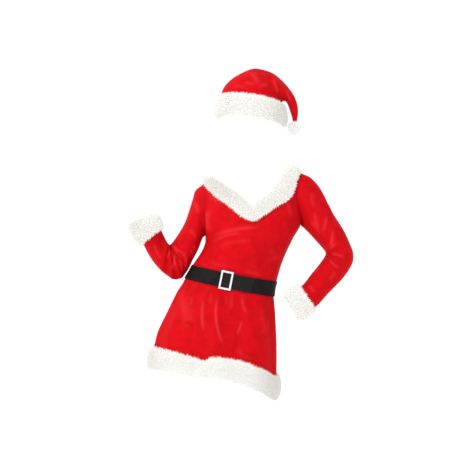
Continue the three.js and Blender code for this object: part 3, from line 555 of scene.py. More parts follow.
def fine_gathers(across, along):
    """Small uneven pleats right under the belt."""
    below = along - GATHER_FROM
    swell = SWELL_PACE * across + SWELL_SHIFT * np.sin(SWELL_SHIFT_PACE * across)
    uneven = FINE_EVEN + FINE_UNEVEN * np.sin(swell)
    reach = FINE_FADE * (FINE_FADE_LEAST + uneven)
    fade = smooth(below / GATHER_RISE * 2) * np.exp(-((below / reach) ** 2))
    spacing = across * FINE_GATHERS + SPACING_SHIFT * np.sin(across * SPACING_SHIFT_PACE)
    return FINE_HEIGHT * uneven * fade * np.sin(spacing)


def skirt_surface(side):
    def plain(across, down):
        row = row_at(SKIRT, down)
        row["edge"] = np.zeros_like(row["front"])
        row["curl"] = np.full_like(row["front"], SIDE_CURL)
        if side == BACK:
            row["lift"] = -row["drop"]
        point = shell_point(row, side, across)
        if side == FRONT:
            grown = smooth((down - RISE_FROM) / (SKIRT_CLOTH_END - RISE_FROM))
            lower = smooth((down - HEM_FROM) / (HEM_TO - HEM_FROM))
            hem = row_at(HEM_RISE, across)
            point[..., 2] += mix(hem["rise"], hem["below"], lower) * grown
        return point

    ridges = SKIRT_FRONT_FOLDS if side == FRONT else SKIRT_BACK_FOLDS

    def height(across, down):
        inside = smooth((1 - np.abs(across)) / FOLD_FREE_EDGE)
        grown = smooth((down - FOLDS_FROM) / (FOLDS_FULL - FOLDS_FROM))
        return inside * (relief(ridges, across, down) * grown + gathers(across, down))

    return Surface(plain, side).lifted(height)


def ring_of(surface_of):
    """Both sides as one ring: -1 to 1 over the front, 1 to 3 over the back."""
    front, back = surface_of(FRONT), surface_of(BACK)

    def point(across, along):
        turned = wrap(across + 1, RING) - 1
        return np.where(
            (turned <= 1)[..., None],
            front.point(np.minimum(turned, 1), along),
            back.point(2 - np.maximum(turned, 1), along),
        )

    return Surface(point, front.facing)


def armhole_point(end, turn):
    up = 1 + np.where(turn <= math.pi, turn, 2 * math.pi - turn) / math.pi
    row = row_at(BODICE, up)
    on_front = shell_point(row, FRONT, end)
    on_back = shell_point(row, BACK, end)
    return np.where((turn <= math.pi)[..., None], on_front, on_back)


def tube_point(row, turn):
    to_inner, to_front = np.cos(turn), np.sin(turn)
    lift = np.where(to_front > 0, row.get("lift", 0), -row.get("back_lift", 0) * np.ones_like(to_front))
    return np.stack(
        [
            mix(row["outer_x"], row["inner_x"], (1 + to_inner) / 2),
            row["mid_y"] - row["half_y"] * to_front,
            mix(row["outer_z"], row["inner_z"], (1 + to_inner) / 2) + lift * to_front,
        ],
        axis=-1,
    )


def sleeve_surface(hand):
    sleeve = SLEEVES[hand]
    rows, end = sleeve["rows"], sleeve["end"]

    def plain(across, along):
        turn = wrap(across, 1) * 2 * math.pi
        share = (1 - smooth(along / ARMHOLE_BLEND))[..., None]
        start = tube_point(row_at(rows, np.zeros_like(along)), turn)
        armhole = armhole_point(end, turn) - start + np.array([end * RING_GAP, 0, 0])
        return tube_point(row_at(rows, along), turn) + armhole * share

    return Surface(plain, -end).lifted(lambda across, along: relief(sleeve["ridges"], wrap(across, 1), along))


def hat_surface():
    plain = Surface(lambda across, along: tube_point(row_at(HAT, along), across * 2 * math.pi), -1)
    return plain.lifted(lambda across, along: relief(HAT_RIDGES, wrap(across, 1), along, HAT_ALONG_SHARE))


def neck_place(across, along):
    """Where the neck's plush band lies on the bodice."""
    turned = wrap(along, 2 * NECK_STEPS)
    front = turned <= NECK_STEPS
    row = row_at(NECKLINE, np.where(front, turned, 2 * NECK_STEPS - turned))
    up = mix(row["inner_up"], row["outer_up"], across)
    dip = np.where(front, 0, BACK_DIP * smooth((2 - up) / BACK_DIP_REACH))
    return front, mix(row["inner_across"], row["outer_across"], across), up - dip


def neck_surface():
    front_side, back_side = bodice_surface(FRONT), bodice_surface(BACK)

    def point(across, along):
        front, place, up = neck_place(across, along)
        return np.where(front[..., None], front_side.point(place, up), back_side.point(place, up))

    surface = Surface(point, 1)

    def normal(across, along):
        front, place, up = neck_place(across, along)
        return np.where(front[..., None], front_side.normal(place, up), back_side.normal(place, up))

    surface.normal = normal
    return surface


def neck_edge(side, across):
    """How high the bodice's cloth reaches: half-way under the neck band."""
    along = np.linspace(0, NECK_STEPS, NECK_SAMPLES * NECK_STEPS + 1)
    if side == BACK:
        along = 2 * NECK_STEPS - along
    _, place, up = neck_place(np.full_like(along, 0.5), along)
    order = np.argsort(place)
    return np.interp(across, place[order], up[order], left=2, right=2)


def waist_surface():
    """The bodice above the waist seam and the skirt below it, as one ring."""
    sides = {side: (bodice_surface(side), skirt_surface(side)) for side in (FRONT, BACK)}

    def on_side(side, place, up):
        bodice, skirt = sides[side]
        over = bodice.point(place, np.maximum(up, 0) * 2 * BELT_UP)
        under = skirt.point(place, np.maximum(-up, 0) * 2 * BELT_DOWN)
        return np.where((up > 0)[..., None], over, under)

    def point(across, up):
        turned = wrap(across + 1, RING) - 1
        on_front = on_side(FRONT, np.minimum(turned, 1), up)
        on_back = on_side(BACK, 2 - np.maximum(turned, 1), up)
        return np.where((turned <= 1)[..., None], on_front, on_back)

    return Surface(point, 1)


# Meshes

SHARP_FROM = 55  # edges that turn by more than this many degrees are shaded sharp


def enclosed_volume(points, faces):
    a, b, c, d = (points[faces[:, i]] for i in range(4))
    return (np.einsum("ij,ij", a, np.cross(b, c)) + np.einsum("ij,ij", a, np.cross(c, d))) / 6


def closed_wall(outer, inner, loop=False):
    """Two grids of points, rows by columns, joined into one closed wall."""
    rows, columns = outer.shape[:2]
    points = np.concatenate([outer.reshape(-1, 3), inner.reshape(-1, 3)])
    last = columns if loop else columns - 1
    end = rows - 1

    def place(layer, row, column):
        return (layer * rows + row) * columns + column % columns

    def quads(*corners):
        return np.stack(np.broadcast_arrays(*corners), axis=-1).reshape(-1, 4)

    r, c = np.meshgrid(np.arange(end), np.arange(last), indexing="ij")
    faces = [
        quads(place(0, r, c), place(0, r, c + 1), place(0, r + 1, c + 1), place(0, r + 1, c)),
        quads(place(1, r, c), place(1, r + 1, c), place(1, r + 1, c + 1), place(1, r, c + 1)),
    ]
    c = np.arange(last)
    faces += [
        quads(place(0, 0, c + 1), place(0, 0, c), place(1, 0, c), place(1, 0, c + 1)),
        quads(place(0, end, c), place(0, end, c + 1), place(1, end, c + 1), place(1, end, c)),
    ]
    if not loop:
        r, side = np.arange(end), columns - 1
        faces += [
            quads(place(0, r, 0), place(0, r + 1, 0), place(1, r + 1, 0), place(1, r, 0)),
            quads(place(0, r + 1, side), place(0, r, side), place(1, r, side), place(1, r + 1, side)),
        ]
    faces = np.concatenate(faces)
    if enclosed_volume(points, faces) < 0:
        faces = faces[:, ::-1]
    return points, faces


def mesh_object(name, points, faces, values=None):
    """An object from points in millimetres. values holds numbers or vectors for each point."""
    mesh = bpy.data.meshes.new(name)
    mesh.from_pydata((points * MM).tolist(), [], faces.tolist())
    for key, data in (values or {}).items():
        kind = "FLOAT_VECTOR" if data.ndim == 2 else "FLOAT"
        attribute = mesh.attributes.new(key, kind, "POINT")
        attribute.data.foreach_set("vector" if data.ndim == 2 else "value", data.astype(np.float32).ravel())
    mesh.shade_smooth()
    mesh.set_sharp_from_angle(angle=math.radians(SHARP_FROM))
    piece = bpy.data.objects.new(name, mesh)
    bpy.context.scene.collection.objects.link(piece)
    return piece


def finish_piece(piece, node, material):
    """Gives a piece its finish and sets it in place of its solid."""
    if not piece.data.materials:
        piece.data.materials.append(material)
    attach(piece, "root")
    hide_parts(node)


# Materials

class Nodes:
    """Adds and joins the nodes of one material or group."""

    def __init__(self, tree):
        self.tree = tree

    def feed(self, node, inputs):
        """Joins a node's inputs to other nodes' outputs, or sets them to constants."""
        for key, value in inputs.items():
            socket = node.inputs[key]
            if isinstance(value, bpy.types.NodeSocket):
                self.tree.links.new(value, socket)
            else:
                socket.default_value = value

    def add(self, kind, inputs=None, **settings):
        node = self.tree.nodes.new(kind)
        for key, value in settings.items():
            setattr(node, key, value)
        self.feed(node, inputs or {})
        return node

    def math(self, operation, *values):
        return self.add("ShaderNodeMath", dict(enumerate(values)), operation=operation).outputs[0]

    def vector(self, operation, *values):
        return self.add("ShaderNodeVectorMath", dict(enumerate(values)), operation=operation).outputs[0]

    def scaled(self, vector, scale):
        return self.add("ShaderNodeVectorMath", {0: vector, "Scale": scale}, operation="SCALE").outputs[0]

    def blend(self, factor, a, b):
        mixed = self.add("ShaderNodeMix", {0: factor, 6: a, 7: b}, data_type="RGBA", blend_type="MIX")
        return mixed.outputs[2]

    def painted(self, name):
        """What a piece's mesh holds at each point under a name."""
        return self.add("ShaderNodeAttribute", attribute_name=name).outputs["Fac"]


def cloth_grain_group():
    """Blotches where the surface lies another way, and the fine grain for a bump."""
    group = bpy.data.node_groups.new("cloth_grain", "ShaderNodeTree")
    for name in ("Blotch Scale", "Grain Scale", "Grain Share"):
        group.interface.new_socket(name, in_out="INPUT", socket_type="NodeSocketFloat")
    for name in ("Blotch", "Height"):
        group.interface.new_socket(name, in_out="OUTPUT", socket_type="NodeSocketFloat")
    nodes = Nodes(group)
    given = nodes.add("NodeGroupInput").outputs
    place = nodes.add("ShaderNodeTexCoord").outputs["Object"]
    broad = nodes.add(
        "ShaderNodeTexNoise",
        {"Vector": place, "Scale": given["Blotch Scale"], "Detail": 4, "Roughness": 0.55, "Distortion": 0.7},
    ).outputs["Fac"]
    grain = nodes.add(
        "ShaderNodeTexNoise", {"Vector": place, "Scale": given["Grain Scale"], "Detail": 2}
    ).outputs["Fac"]
    blotch = nodes.add(
        "ShaderNodeMapRange",
        {"Value": broad, "From Min": 0.32, "From Max": 0.68},
        interpolation_type="SMOOTHSTEP",
    ).outputs[0]
    height = nodes.math("MULTIPLY_ADD", grain, given["Grain Share"], broad)
    nodes.add("NodeGroupOutput", {"Blotch": blotch, "Height": height})
    return group


def new_material(name):
    material = bpy.data.materials.new(name)
    material.use_nodes = True
    material.node_tree.nodes.clear()
    nodes = Nodes(material.node_tree)
    surface = nodes.add("ShaderNodeBsdfPrincipled")
    nodes.add("ShaderNodeOutputMaterial", {"Surface": surface.outputs[0]})
    return material, nodes, surface


def grained(nodes, blotch_scale, grain_scale, grain_share):
    """The blotches and the grain's height, in a material's own sizes."""
    node = nodes.add("ShaderNodeGroup")
    node.node_tree = bpy.data.node_groups.get("cloth_grain") or cloth_grain_group()
    sizes = {"Blotch Scale": blotch_scale, "Grain Scale": grain_scale, "Grain Share": grain_share}
    nodes.feed(node, sizes)
    return node.outputs["Blotch"], node.outputs["Height"]


def bumped(nodes, height, strength, distance):
    bump = nodes.add("ShaderNodeBump", {"Strength": strength, "Distance": distance, "Height": height})
    return bump.outputs[0]


def toned(colour, factors):
    """A colour with each of its channels scaled, for a node."""
    return (*(channel * factor for channel, factor in zip(colour, factors)), 1)


# How other tones of a material differ from its own colour, by channel
VELOUR_SHADE = (0.84, 0.6, 0.65)
PLUSH_WARM = (0.97, 0.95, 0.92)
# painted shade at the roots of the pile
PLUSH_PAINTED_ROOT_SHADE = (0.9, 0.88, 0.85)
# painted shade: the duller, warmer white of the plush's shaded places
PLUSH_PAINTED_SHADE = (0.5, 0.455, 0.38)
# the pale tone of the strap's random speckles and of the sheen painted on its free end
STRAP_SPECKLE_AND_SHEEN = (2.4, 2.4, 2.4)

# painted highlight: the paler red painted along the creases' ridges
VELOUR_PAINTED_HIGHLIGHT = (0.62, 0.03, 0.038, 1)
SPECKLE_SHARE = 0.45
WALE_SHARE = 0.5
PILE_SHARE = 0.7  # how much of the pile's paleness is its own colour; the painted glow gives the rest
PILE_PAINTED_GLOW = 0.38  # a glow painted into the white pile as emission, standing in for the light it passes on from fibre to fibre


def velour_material(sizes):
    """Red velour: darker where the pile lies away, with a highlight painted along the creases."""
    material, nodes, surface = new_material("red_velour")
    blotch, height = grained(nodes, blotch_scale=26, grain_scale=1100, grain_share=0.2)
    shade = toned(sizes.velour_colour, VELOUR_SHADE)
    lain = nodes.blend(blotch, shade, (*sizes.velour_colour, 1))
    finish = {
        # the base colour takes a painted highlight along the creases' ridges
        "Base Color": nodes.blend(nodes.painted("painted_crest_highlight"), lain, VELOUR_PAINTED_HIGHLIGHT),
        "Normal": bumped(nodes, height, strength=0.4, distance=0.0012),
        "Roughness": 0.72,
        "Specular IOR Level": 0.06,
        "Sheen Weight": 0.07,
        "Sheen Roughness": 0.42,
        "Sheen Tint": (1, 0.1, 0.12, 1),
    }
    nodes.feed(surface, finish)
    return material


def plush_material(sizes):
    """Off-white plush, with painted shade at the roots of its pile and where its mesh says, and a painted
    glow.
    """
    pale = tuple(PILE_SHARE * channel for channel in sizes.plush_colour)
    material, nodes, surface = new_material("white_plush")
    blotch, height = grained(nodes, blotch_scale=34, grain_scale=1500, grain_share=0.3)
    lain = nodes.blend(blotch, toned(pale, PLUSH_WARM), (*pale, 1))
    # painted shade: the pile darker towards its roots, by the tufts' tip attribute
    root_shaded = nodes.blend(nodes.painted("tip"), toned(pale, PLUSH_PAINTED_ROOT_SHADE), lain)
    finish = {
        # painted shade where the mesh's attribute says
        "Base Color": nodes.blend(nodes.painted("dulled"), root_shaded, toned(pale, PLUSH_PAINTED_SHADE)),
        "Normal": bumped(nodes, height, strength=0.3, distance=0.001),
        "Roughness": 0.9,
        "Specular IOR Level": 0.15,
        "Sheen Weight": 0.15,
        # painted light: the plush glows with its own colour
        "Emission Color": (*sizes.plush_colour, 1),
        "Emission Strength": PILE_PAINTED_GLOW,
    }
    nodes.feed(surface, finish)
    return material


def strap_material(sizes):
    """Black coated cloth with a fine twill, paler on the free end with a painted sheen."""
    material, nodes, surface = new_material("black_strap")
    blotch, height = grained(nodes, blotch_scale=45, grain_scale=700, grain_share=0.6)
    place = nodes.add("ShaderNodeTexCoord").outputs["Object"]
    wale = nodes.add(
        "ShaderNodeTexWave",
        {"Vector": place, "Scale": 260, "Distortion": 1.2, "Detail": 2},
        wave_type="BANDS",
        bands_direction="DIAGONAL",
    ).outputs["Fac"]
    speckle = nodes.math("MULTIPLY", blotch, SPECKLE_SHARE)
    # the pale tone goes where the speckles are and where the sheen is painted
    share = nodes.math("MAXIMUM", nodes.painted("worn"), speckle)
    raised = nodes.math("MULTIPLY_ADD", wale, WALE_SHARE, height)
    finish = {
        "Base Color": nodes.blend(share, (*sizes.strap_colour, 1), toned(sizes.strap_colour, STRAP_SPECKLE_AND_SHEEN)),
        "Normal": bumped(nodes, raised, strength=0.35, distance=0.0006),
        "Roughness": 0.6,
        "Specular IOR Level": 0.09,
    }
    nodes.feed(surface, finish)
    return material


def metal_material(sizes):
    """Bright plated metal with faint polishing marks."""
    material, nodes, surface = new_material("plated_metal")
    blotch, height = grained(nodes, blotch_scale=120, grain_scale=2200, grain_share=0.5)
    rough = nodes.add("ShaderNodeMapRange", {"Value": blotch, "To Min": 0.16, "To Max": 0.3})
    finish = {
        "Base Color": (*sizes.metal_colour, 1),
        "Metallic": 1,
        "Roughness": rough.outputs[0],
        "Normal": bumped(nodes, height, strength=0.08, distance=0.0004),
    }
    nodes.feed(surface, finish)
    return material


MATERIALS = {
    "velour": ("red_velour", velour_material),
    "plush": ("white_plush", plush_material),
    "strap": ("black_strap", strap_material),
    "metal": ("plated_metal", metal_material),
}


def finish_of(slot, sizes):
    name, make = MATERIALS[slot]
    return bpy.data.materials.get(name) or make(sizes)


# Velour panels

CREST_FULL = 2.8  # a crease this high gets the most painted highlight, in millimetres
# how strong the highlight painted on the creases' ridges is
CREST_PAINTED_HIGHLIGHT = 0.55
TURN_SHARE = 0.35  # where the cloth turns to the side, its creases fade out
SHIFT_BACK = 14  # a sleeve's and the hat's creases lie this much lower at the back


def velour_wall(
    name, node, surface, across, along, creases, sizes, hold, loop=False, extra=0, strips=()
):
    """A thin wall of velour on a surface, with its creases, and strips that belong to it."""
    points = surface.point(across, along)
    normals = surface.normal(across, along)
    to_front = smooth(-normals[..., 1] / TURN_SHARE)
    to_back = smooth(normals[..., 1] / TURN_SHARE)
    front_creases, back_creases = creases
    lift = creased(front_creases, points) * to_front
    shifted = points + np.array([0, 0, SHIFT_BACK])
    lift += creased(back_creases, shifted if back_creases is front_creases else points) * to_back
    lift += extra
    lift *= hold
    lift *= sizes.crease_depth
    # painted highlight: a mask that makes the velour paler along the creases' ridges
    painted_crest_highlight = np.clip(lift / CREST_FULL, 0, 1) * CREST_PAINTED_HIGHLIGHT
    outer = points + normals * lift[..., None]
    inner = outer - normals * WALL
    if not loop:
        side = np.sign(points[..., 1].mean())
        for layer in (outer, inner):
            layer[..., 1] = side * np.maximum(side * layer[..., 1], SEAM / 2)
    corners, faces = closed_wall(outer, inner, loop)
    painted_crest_highlight = np.tile(painted_crest_highlight.ravel(), 2)
    for more_corners, more_faces in strips:
        faces = np.concatenate([faces, more_faces + len(corners)])
        corners = np.concatenate([corners, more_corners])
        painted_crest_highlight = np.concatenate([painted_crest_highlight, np.zeros(len(more_corners))])
    piece = mesh_object(name, corners, faces, {"painted_crest_highlight": painted_crest_highlight})
    finish_piece(piece, node, finish_of("velour", sizes))


BODICE_COLUMNS = 110
BODICE_ROWS = 84
SKIRT_COLUMNS = 190
SKIRT_ROWS = 84
SKIRT_UPPER_ROWS = 34  # this many of the rows lie close together, by the gathers
SKIRT_UPPER_TO = 0.3  # down to here
SLEEVE_COLUMNS = 84
SLEEVE_ROWS = 150
CROWN_COLUMNS = 96
CROWN_ROWS = 84

# Creases fade out towards seams, the belt, the trims and the hat's tip. The fades are lengths
# in the steps of each panel's own table.
SEAM_FADE = 0.08
TRIM_FADE = 0.05
WAIST_HOLD = 0.16  # the bodice's creases begin here, at the belt's upper edge
WAIST_FADE = 0.1
BELT_OVERLAP = 0.02  # the skirt's begin this far above its gathers
CROWN_HOLD = 0.95  # the crown's begin here, under its band
CROWN_FADE = 0.3
TIP_FADE = 0.5


def make_bodice(sizes):
    for name, side in (("front", FRONT), ("back", BACK)):
        columns = np.linspace(-1, 1, BODICE_COLUMNS)
        shares = np.linspace(0, 1, BODICE_ROWS)
        top = neck_edge(side, columns)
        across = np.broadcast_to(columns, (BODICE_ROWS, BODICE_COLUMNS))
        along = mix(WAIST_GAP, top[None, :], shares[:, None])
        hold = smooth((1 - np.abs(across)) / SEAM_FADE) * smooth((along - WAIST_HOLD) / WAIST_FADE)
        hold *= smooth((1 - shares[:, None]) / SEAM_FADE)
        creases = (BODICE_CREASES, BACK_CREASES)
        surface = bodice_surface(side)
        velour_wall(
            f"{name}_bodice", f"bodice_{name}", surface, across, along, creases, sizes, hold
        )


ALLOWANCE = 3  # a seam allowance reaches this far to both sides of its seam
ALLOWANCE_DEEP = 0.6
ALLOWANCE_ROWS = slice(4, -2)  # the side seams' stop short of the waist seam and of the hem


def seam_allowances(surface, rows):
    """The edges of a panel that lie turned in behind its two side seams."""
    strips = []
    for edge in (-1, 1):
        seam = surface.point(np.full_like(rows, edge), rows) * (1, 0, 1)
        out = np.array([edge, 0, 0])
        over = np.array([0, ALLOWANCE, 0])
        inside = seam - out * (WALL + 2 * SEAM)
        outer = np.stack([inside - over, inside, inside + over], axis=1)
        strips.append(closed_wall(outer, outer - out * ALLOWANCE_DEEP))
    return strips


def make_skirt(sizes):
    for name, side in (("front", FRONT), ("back", BACK)):
        columns = np.linspace(-1, 1, SKIRT_COLUMNS)
        upper = np.linspace(WAIST_GAP, SKIRT_UPPER_TO, SKIRT_UPPER_ROWS)
        lower = np.linspace(SKIRT_UPPER_TO, SKIRT_CLOTH_END, SKIRT_ROWS - SKIRT_UPPER_ROWS + 1)
        rows = np.concatenate([upper, lower[1:]])
        across, along = np.meshgrid(columns, rows)
        hold = smooth((1 - np.abs(across)) / SEAM_FADE)
        hold *= smooth((along - GATHER_FROM + BELT_OVERLAP) / TRIM_FADE)
        hold *= smooth((HEM_FROM - along) / TRIM_FADE)
        creases = (SKIRT_CREASES, BACK_CREASES)
        extra = fine_gathers(across, along)
        surface = skirt_surface(side)
        strips = seam_allowances(surface, rows[ALLOWANCE_ROWS]) if side == FRONT else ()
        velour_wall(
            f"{name}_skirt", f"skirt_{name}", surface, across, along, creases, sizes, hold,
            extra=extra, strips=strips,
        )


def armhole_allowance(end):
    """A sleeve's edge that lies turned in behind the armhole seam."""
    ring = armhole_point(end, np.arange(SLEEVE_COLUMNS) / SLEEVE_COLUMNS * 2 * math.pi)
    inward = unit((ring.mean(axis=0) - ring) * (0, 1, 1))
    over = np.array([ALLOWANCE, 0, 0])
    inside = ring + inward * (WALL + 2 * SEAM)
    outer = np.stack([inside - over, inside, inside + over])
    return closed_wall(outer, outer + inward * ALLOWANCE_DEEP, loop=True)


def make_sleeves(sizes):
    for hand, creases in (("left", SLEEVE_CREASES_LEFT), ("right", SLEEVE_CREASES_RIGHT)):
        sleeve = SLEEVES[hand]
        columns = np.arange(SLEEVE_COLUMNS) / SLEEVE_COLUMNS
        rows = np.linspace(0, sleeve["cloth"], SLEEVE_ROWS)
        across, along = np.meshgrid(columns, rows)
        hold = smooth(along / SEAM_FADE) * smooth((sleeve["cuff"][0] - along) / TRIM_FADE)
        pair = (creases, creases)
        surface = sleeve_surface(hand)
        velour_wall(
            f"{hand}_sleeve", f"sleeve_{hand}", surface, across, along, pair, sizes, hold,
            loop=True, strips=[armhole_allowance(sleeve["end"])],
        )


def make_crown(sizes):
    columns = np.arange(CROWN_COLUMNS) / CROWN_COLUMNS
    rows = np.linspace(CROWN_FROM, CROWN_TO, CROWN_ROWS)
    across, along = np.meshgrid(columns, rows)
    hold = smooth((along - CROWN_HOLD) / CROWN_FADE) * smooth((CROWN_TO - along) / TIP_FADE)
    creases = (HAT_CREASES, HAT_CREASES)
    velour_wall("crown", "hat_crown", hat_surface(), across, along, creases, sizes, hold, loop=True)


# Plush

EDGE_PILE = 3  # the pile's depth at a band's edges, in millimetres
BACKING_SHARE = 0.5  # the dense lower part of the pile
RIM = 0.07  # the backing ends this share of its width inside the band's edge
EDGE_COMB = 1.2  # how strongly the pile leans out over a band's edges

# Each band's backing in columns and rows, its depth in millimetres, and how its pile is combed
# round the band and down it
BANDS = {
    "neck": {"columns": 260, "rows": 14, "depth": 14, "comb": (0, 0.25)},
    "hem": {"columns": 320, "rows": 16, "depth": 17, "comb": (0, 0.45)},
    "cuff": {"columns": 96, "rows": 14, "depth": 17, "comb": (0, 0.1)},
    "hat": {"columns": 200, "rows": 16, "depth": 19, "comb": (0.15, 0.1)},
}

# Where painted shade makes the plush a duller white: how much, from which x, and over which run it grows
HEM_PAINTED_SHADE = ((0.58, -20, 90), (0.4, -265, -70))
CUFF_PAINTED_SHADE = ((0.5, -360, -50),)
HAT_PAINTED_SHADE = ((0.55, 20, 90), (0.3, -30, -70))
NECK_PAINTED_SHADE = ((0.33, 40, -80),)
NECK_PAINTED_SHADE_LEAST = 0.15
NECK_PAINTED_SHADE_FROM_Z = -130
NECK_PAINTED_SHADE_RISE = 90


def painted_shade_by_place(patches, points):
    """How much painted shade dulls the plush at each point, from 0 to 1."""
    return sum(most * smooth((points[..., 0] - start) / run) for most, start, run in patches)


def plush_band(name, node, band, surface, place_of, dulled, sizes, gap=SEAM):
    """A closed band of plush: its dense backing, grown over with tufts, with painted shade where the given
    function puts it.
    """
    depth, comb_over, comb_down = band["depth"], *band["comb"]
    shares = np.linspace(RIM, 1 - RIM, band["rows"])
    turns = np.arange(band["columns"]) / band["columns"]
    turn, share = np.meshgrid(turns, shares)
    across, along = place_of(turn, share)
    points = surface.point(across, along)
    normals = surface.normal(across, along)
    pile = EDGE_PILE + (depth - EDGE_PILE) * (1 - np.abs(2 * share - 1) ** 3)
    thick = pile * BACKING_SHARE
    outer = points + normals * (gap + thick)[..., None]
    inner = points + normals * gap
    over, down = place_tangents(surface, place_of, turn, share)
    edge = (2 * share - 1)[..., None]
    comb = over * comb_over + down * (comb_down + edge * np.abs(edge) * EDGE_COMB)
    values = {
        "grown": np.repeat([1.0, 0.0], share.size),
        "comb": np.tile(comb.reshape(-1, 3), (2, 1)),
        "longer": np.tile((pile / depth).ravel(), 2),
        # painted shade at each point, kept for the material
        "dulled": np.tile(dulled(points).ravel(), 2),
    }
    base = mesh_object(name, *closed_wall(outer, inner, loop=True), values)
    piece = grow_plush(base, sizes, depth)
    finish_piece(piece, node, finish_of("plush", sizes))


def place_tangents(surface, place_of, turn, share):
    """Unit vectors round the band and across it."""

    def at(turn, share):
        return surface.point(*place_of(turn, share))

    over = at(turn + PROBE, share) - at(turn - PROBE, share)
    down = at(turn, np.minimum(share + PROBE, 1)) - at(turn, np.maximum(share - PROBE, 0))
    return unit(over), unit(down)


CLUMP_SCALE = 75
CLUMP_STRENGTH = 2
LENGTH_RANGE = (0.6, 1.15)
WIDTH_RANGE = (0.8, 1.3)
LENGTH_FIXED = 0.45  # this share of a tuft's length is the same everywhere
LENGTH_BY_PILE = 0.55  # and this share goes with the depth of the pile
SEEDS = {"wide": 5, "deep": 6, "long": 7, "spin": 11}  # each draw has a number of its own


def plush_tree():
    """Geometry nodes that grow bent tufts on a surface, combed along its attribute comb."""
    tree = bpy.data.node_groups.new("plush_pile", "GeometryNodeTree")
    tree.interface.new_socket("Geometry", in_out="INPUT", socket_type="NodeSocketGeometry")
    for name in ("Density", "Length", "Width", "Bend", "Spread", "Clump"):
        tree.interface.new_socket(name, in_out="INPUT", socket_type="NodeSocketFloat")
    tree.interface.new_socket("Seed", in_out="INPUT", socket_type="NodeSocketInt")
    tree.interface.new_socket("Material", in_out="INPUT", socket_type="NodeSocketMaterial")
    tree.interface.new_socket("Geometry", in_out="OUTPUT", socket_type="NodeSocketGeometry")
    nodes = Nodes(tree)
    given = nodes.add("NodeGroupInput").outputs

    def named(name, kind="FLOAT"):
        node = nodes.add("GeometryNodeInputNamedAttribute", {"Name": name}, data_type=kind)
        return node.outputs[0]

    def scattered(low, high, draw):
        seed = nodes.math("ADD", given["Seed"], SEEDS[draw])
        values = {"Seed": seed, 2: low, 3: high}
        return nodes.add("FunctionNodeRandomValue", values, data_type="FLOAT").outputs[1]

    thick = nodes.math("MULTIPLY", given["Density"], named("grown"))
    spots = nodes.add(
        "GeometryNodeDistributePointsOnFaces",
        {"Mesh": given["Geometry"], "Density": thick, "Seed": given["Seed"]},
        distribute_method="RANDOM",
    )
    place = nodes.add("GeometryNodeInputPosition").outputs[0]
    swirl = nodes.add(
        "ShaderNodeTexNoise", {"Vector": place, "Scale": CLUMP_SCALE, "Detail": 2, "Roughness": 0.5}
    )
    swirled = nodes.vector("SUBTRACT", swirl.outputs["Color"], (0.5, 0.5, 0.5))
    clump = nodes.scaled(swirled, nodes.math("MULTIPLY", given["Clump"], CLUMP_STRENGTH))
    limits = {"Seed": given["Seed"], 0: (-1, -1, -1), 1: (1, 1, 1)}
    stray = nodes.add("FunctionNodeRandomValue", limits, data_type="FLOAT_VECTOR")
    heading = nodes.vector("ADD", spots.outputs["Normal"], named("comb", "FLOAT_VECTOR"))
    heading = nodes.vector("ADD", heading, clump)
    heading = nodes.vector("ADD", heading, nodes.scaled(stray.outputs[0], given["Spread"]))
    upright = nodes.add("FunctionNodeAlignRotationToVector", {"Vector": heading}, axis="Z")
    spin = nodes.add("FunctionNodeAxisAngleToRotation", {"Angle": scattered(0, 2 * math.pi, "spin")})
    turned = nodes.add(
        "FunctionNodeRotateRotation",
        {"Rotation": upright.outputs[0], "Rotate By": spin.outputs[0]},
        rotation_space="LOCAL",
    )
    cone = nodes.add(
        "GeometryNodeMeshCone",
        {
            "Vertices": 3,
            "Side Segments": 2,
            "Fill Segments": 1,
            "Radius Top": 0,
            "Radius Bottom": given["Width"],
            "Depth": given["Length"],
        },
        fill_type="NGON",
    ).outputs["Mesh"]
    height = nodes.add("ShaderNodeSeparateXYZ", {0: place}).outputs[2]
    up = nodes.math("DIVIDE", height, given["Length"])
    aside = nodes.math("MULTIPLY", nodes.math("MULTIPLY", up, up), given["Bend"])
    offset = nodes.add("ShaderNodeCombineXYZ", {0: aside})
    bent = nodes.add("GeometryNodeSetPosition", {"Geometry": cone, "Offset": offset.outputs[0]})
    marked = nodes.add(
        "GeometryNodeStoreNamedAttribute",
        {"Geometry": bent.outputs[0], "Name": "tip", "Value": up},
        data_type="FLOAT",
        domain="POINT",
    )
    full = nodes.math("MULTIPLY_ADD", named("longer"), LENGTH_BY_PILE, LENGTH_FIXED)
    size = nodes.math("MULTIPLY", scattered(*LENGTH_RANGE, "long"), full)
    wide, deep = scattered(*WIDTH_RANGE, "wide"), scattered(*WIDTH_RANGE, "deep")
    scale = nodes.add("ShaderNodeCombineXYZ", {0: wide, 1: deep, 2: size})
    grown = nodes.add(
        "GeometryNodeInstanceOnPoints",
        {
            "Points": spots.outputs["Points"],
            "Instance": marked.outputs[0],
            "Rotation": turned.outputs[0],
            "Scale": scale.outputs[0],
        },
    )
    real = nodes.add("GeometryNodeRealizeInstances", {"Geometry": grown.outputs[0]})
    rounded = nodes.add("GeometryNodeSetShadeSmooth", {"Geometry": real.outputs[0]})
    joined = nodes.add("GeometryNodeJoinGeometry")
    tree.links.new(rounded.outputs[0], joined.inputs[0])
    tree.links.new(given["Geometry"], joined.inputs[0])
    material = {"Geometry": joined.outputs[0], "Material": given["Material"]}
    finished = nodes.add("GeometryNodeSetMaterial", material)
    nodes.add("NodeGroupOutput", {0: finished.outputs[0]})
    return tree


CM2_IN_M2 = 1e4
FULL_DEPTH = 17  # pile this deep has tufts of their full length
BEND_SHARE = 0.25
STRAY_SPREAD = 0.35
PILE_SEED = 4


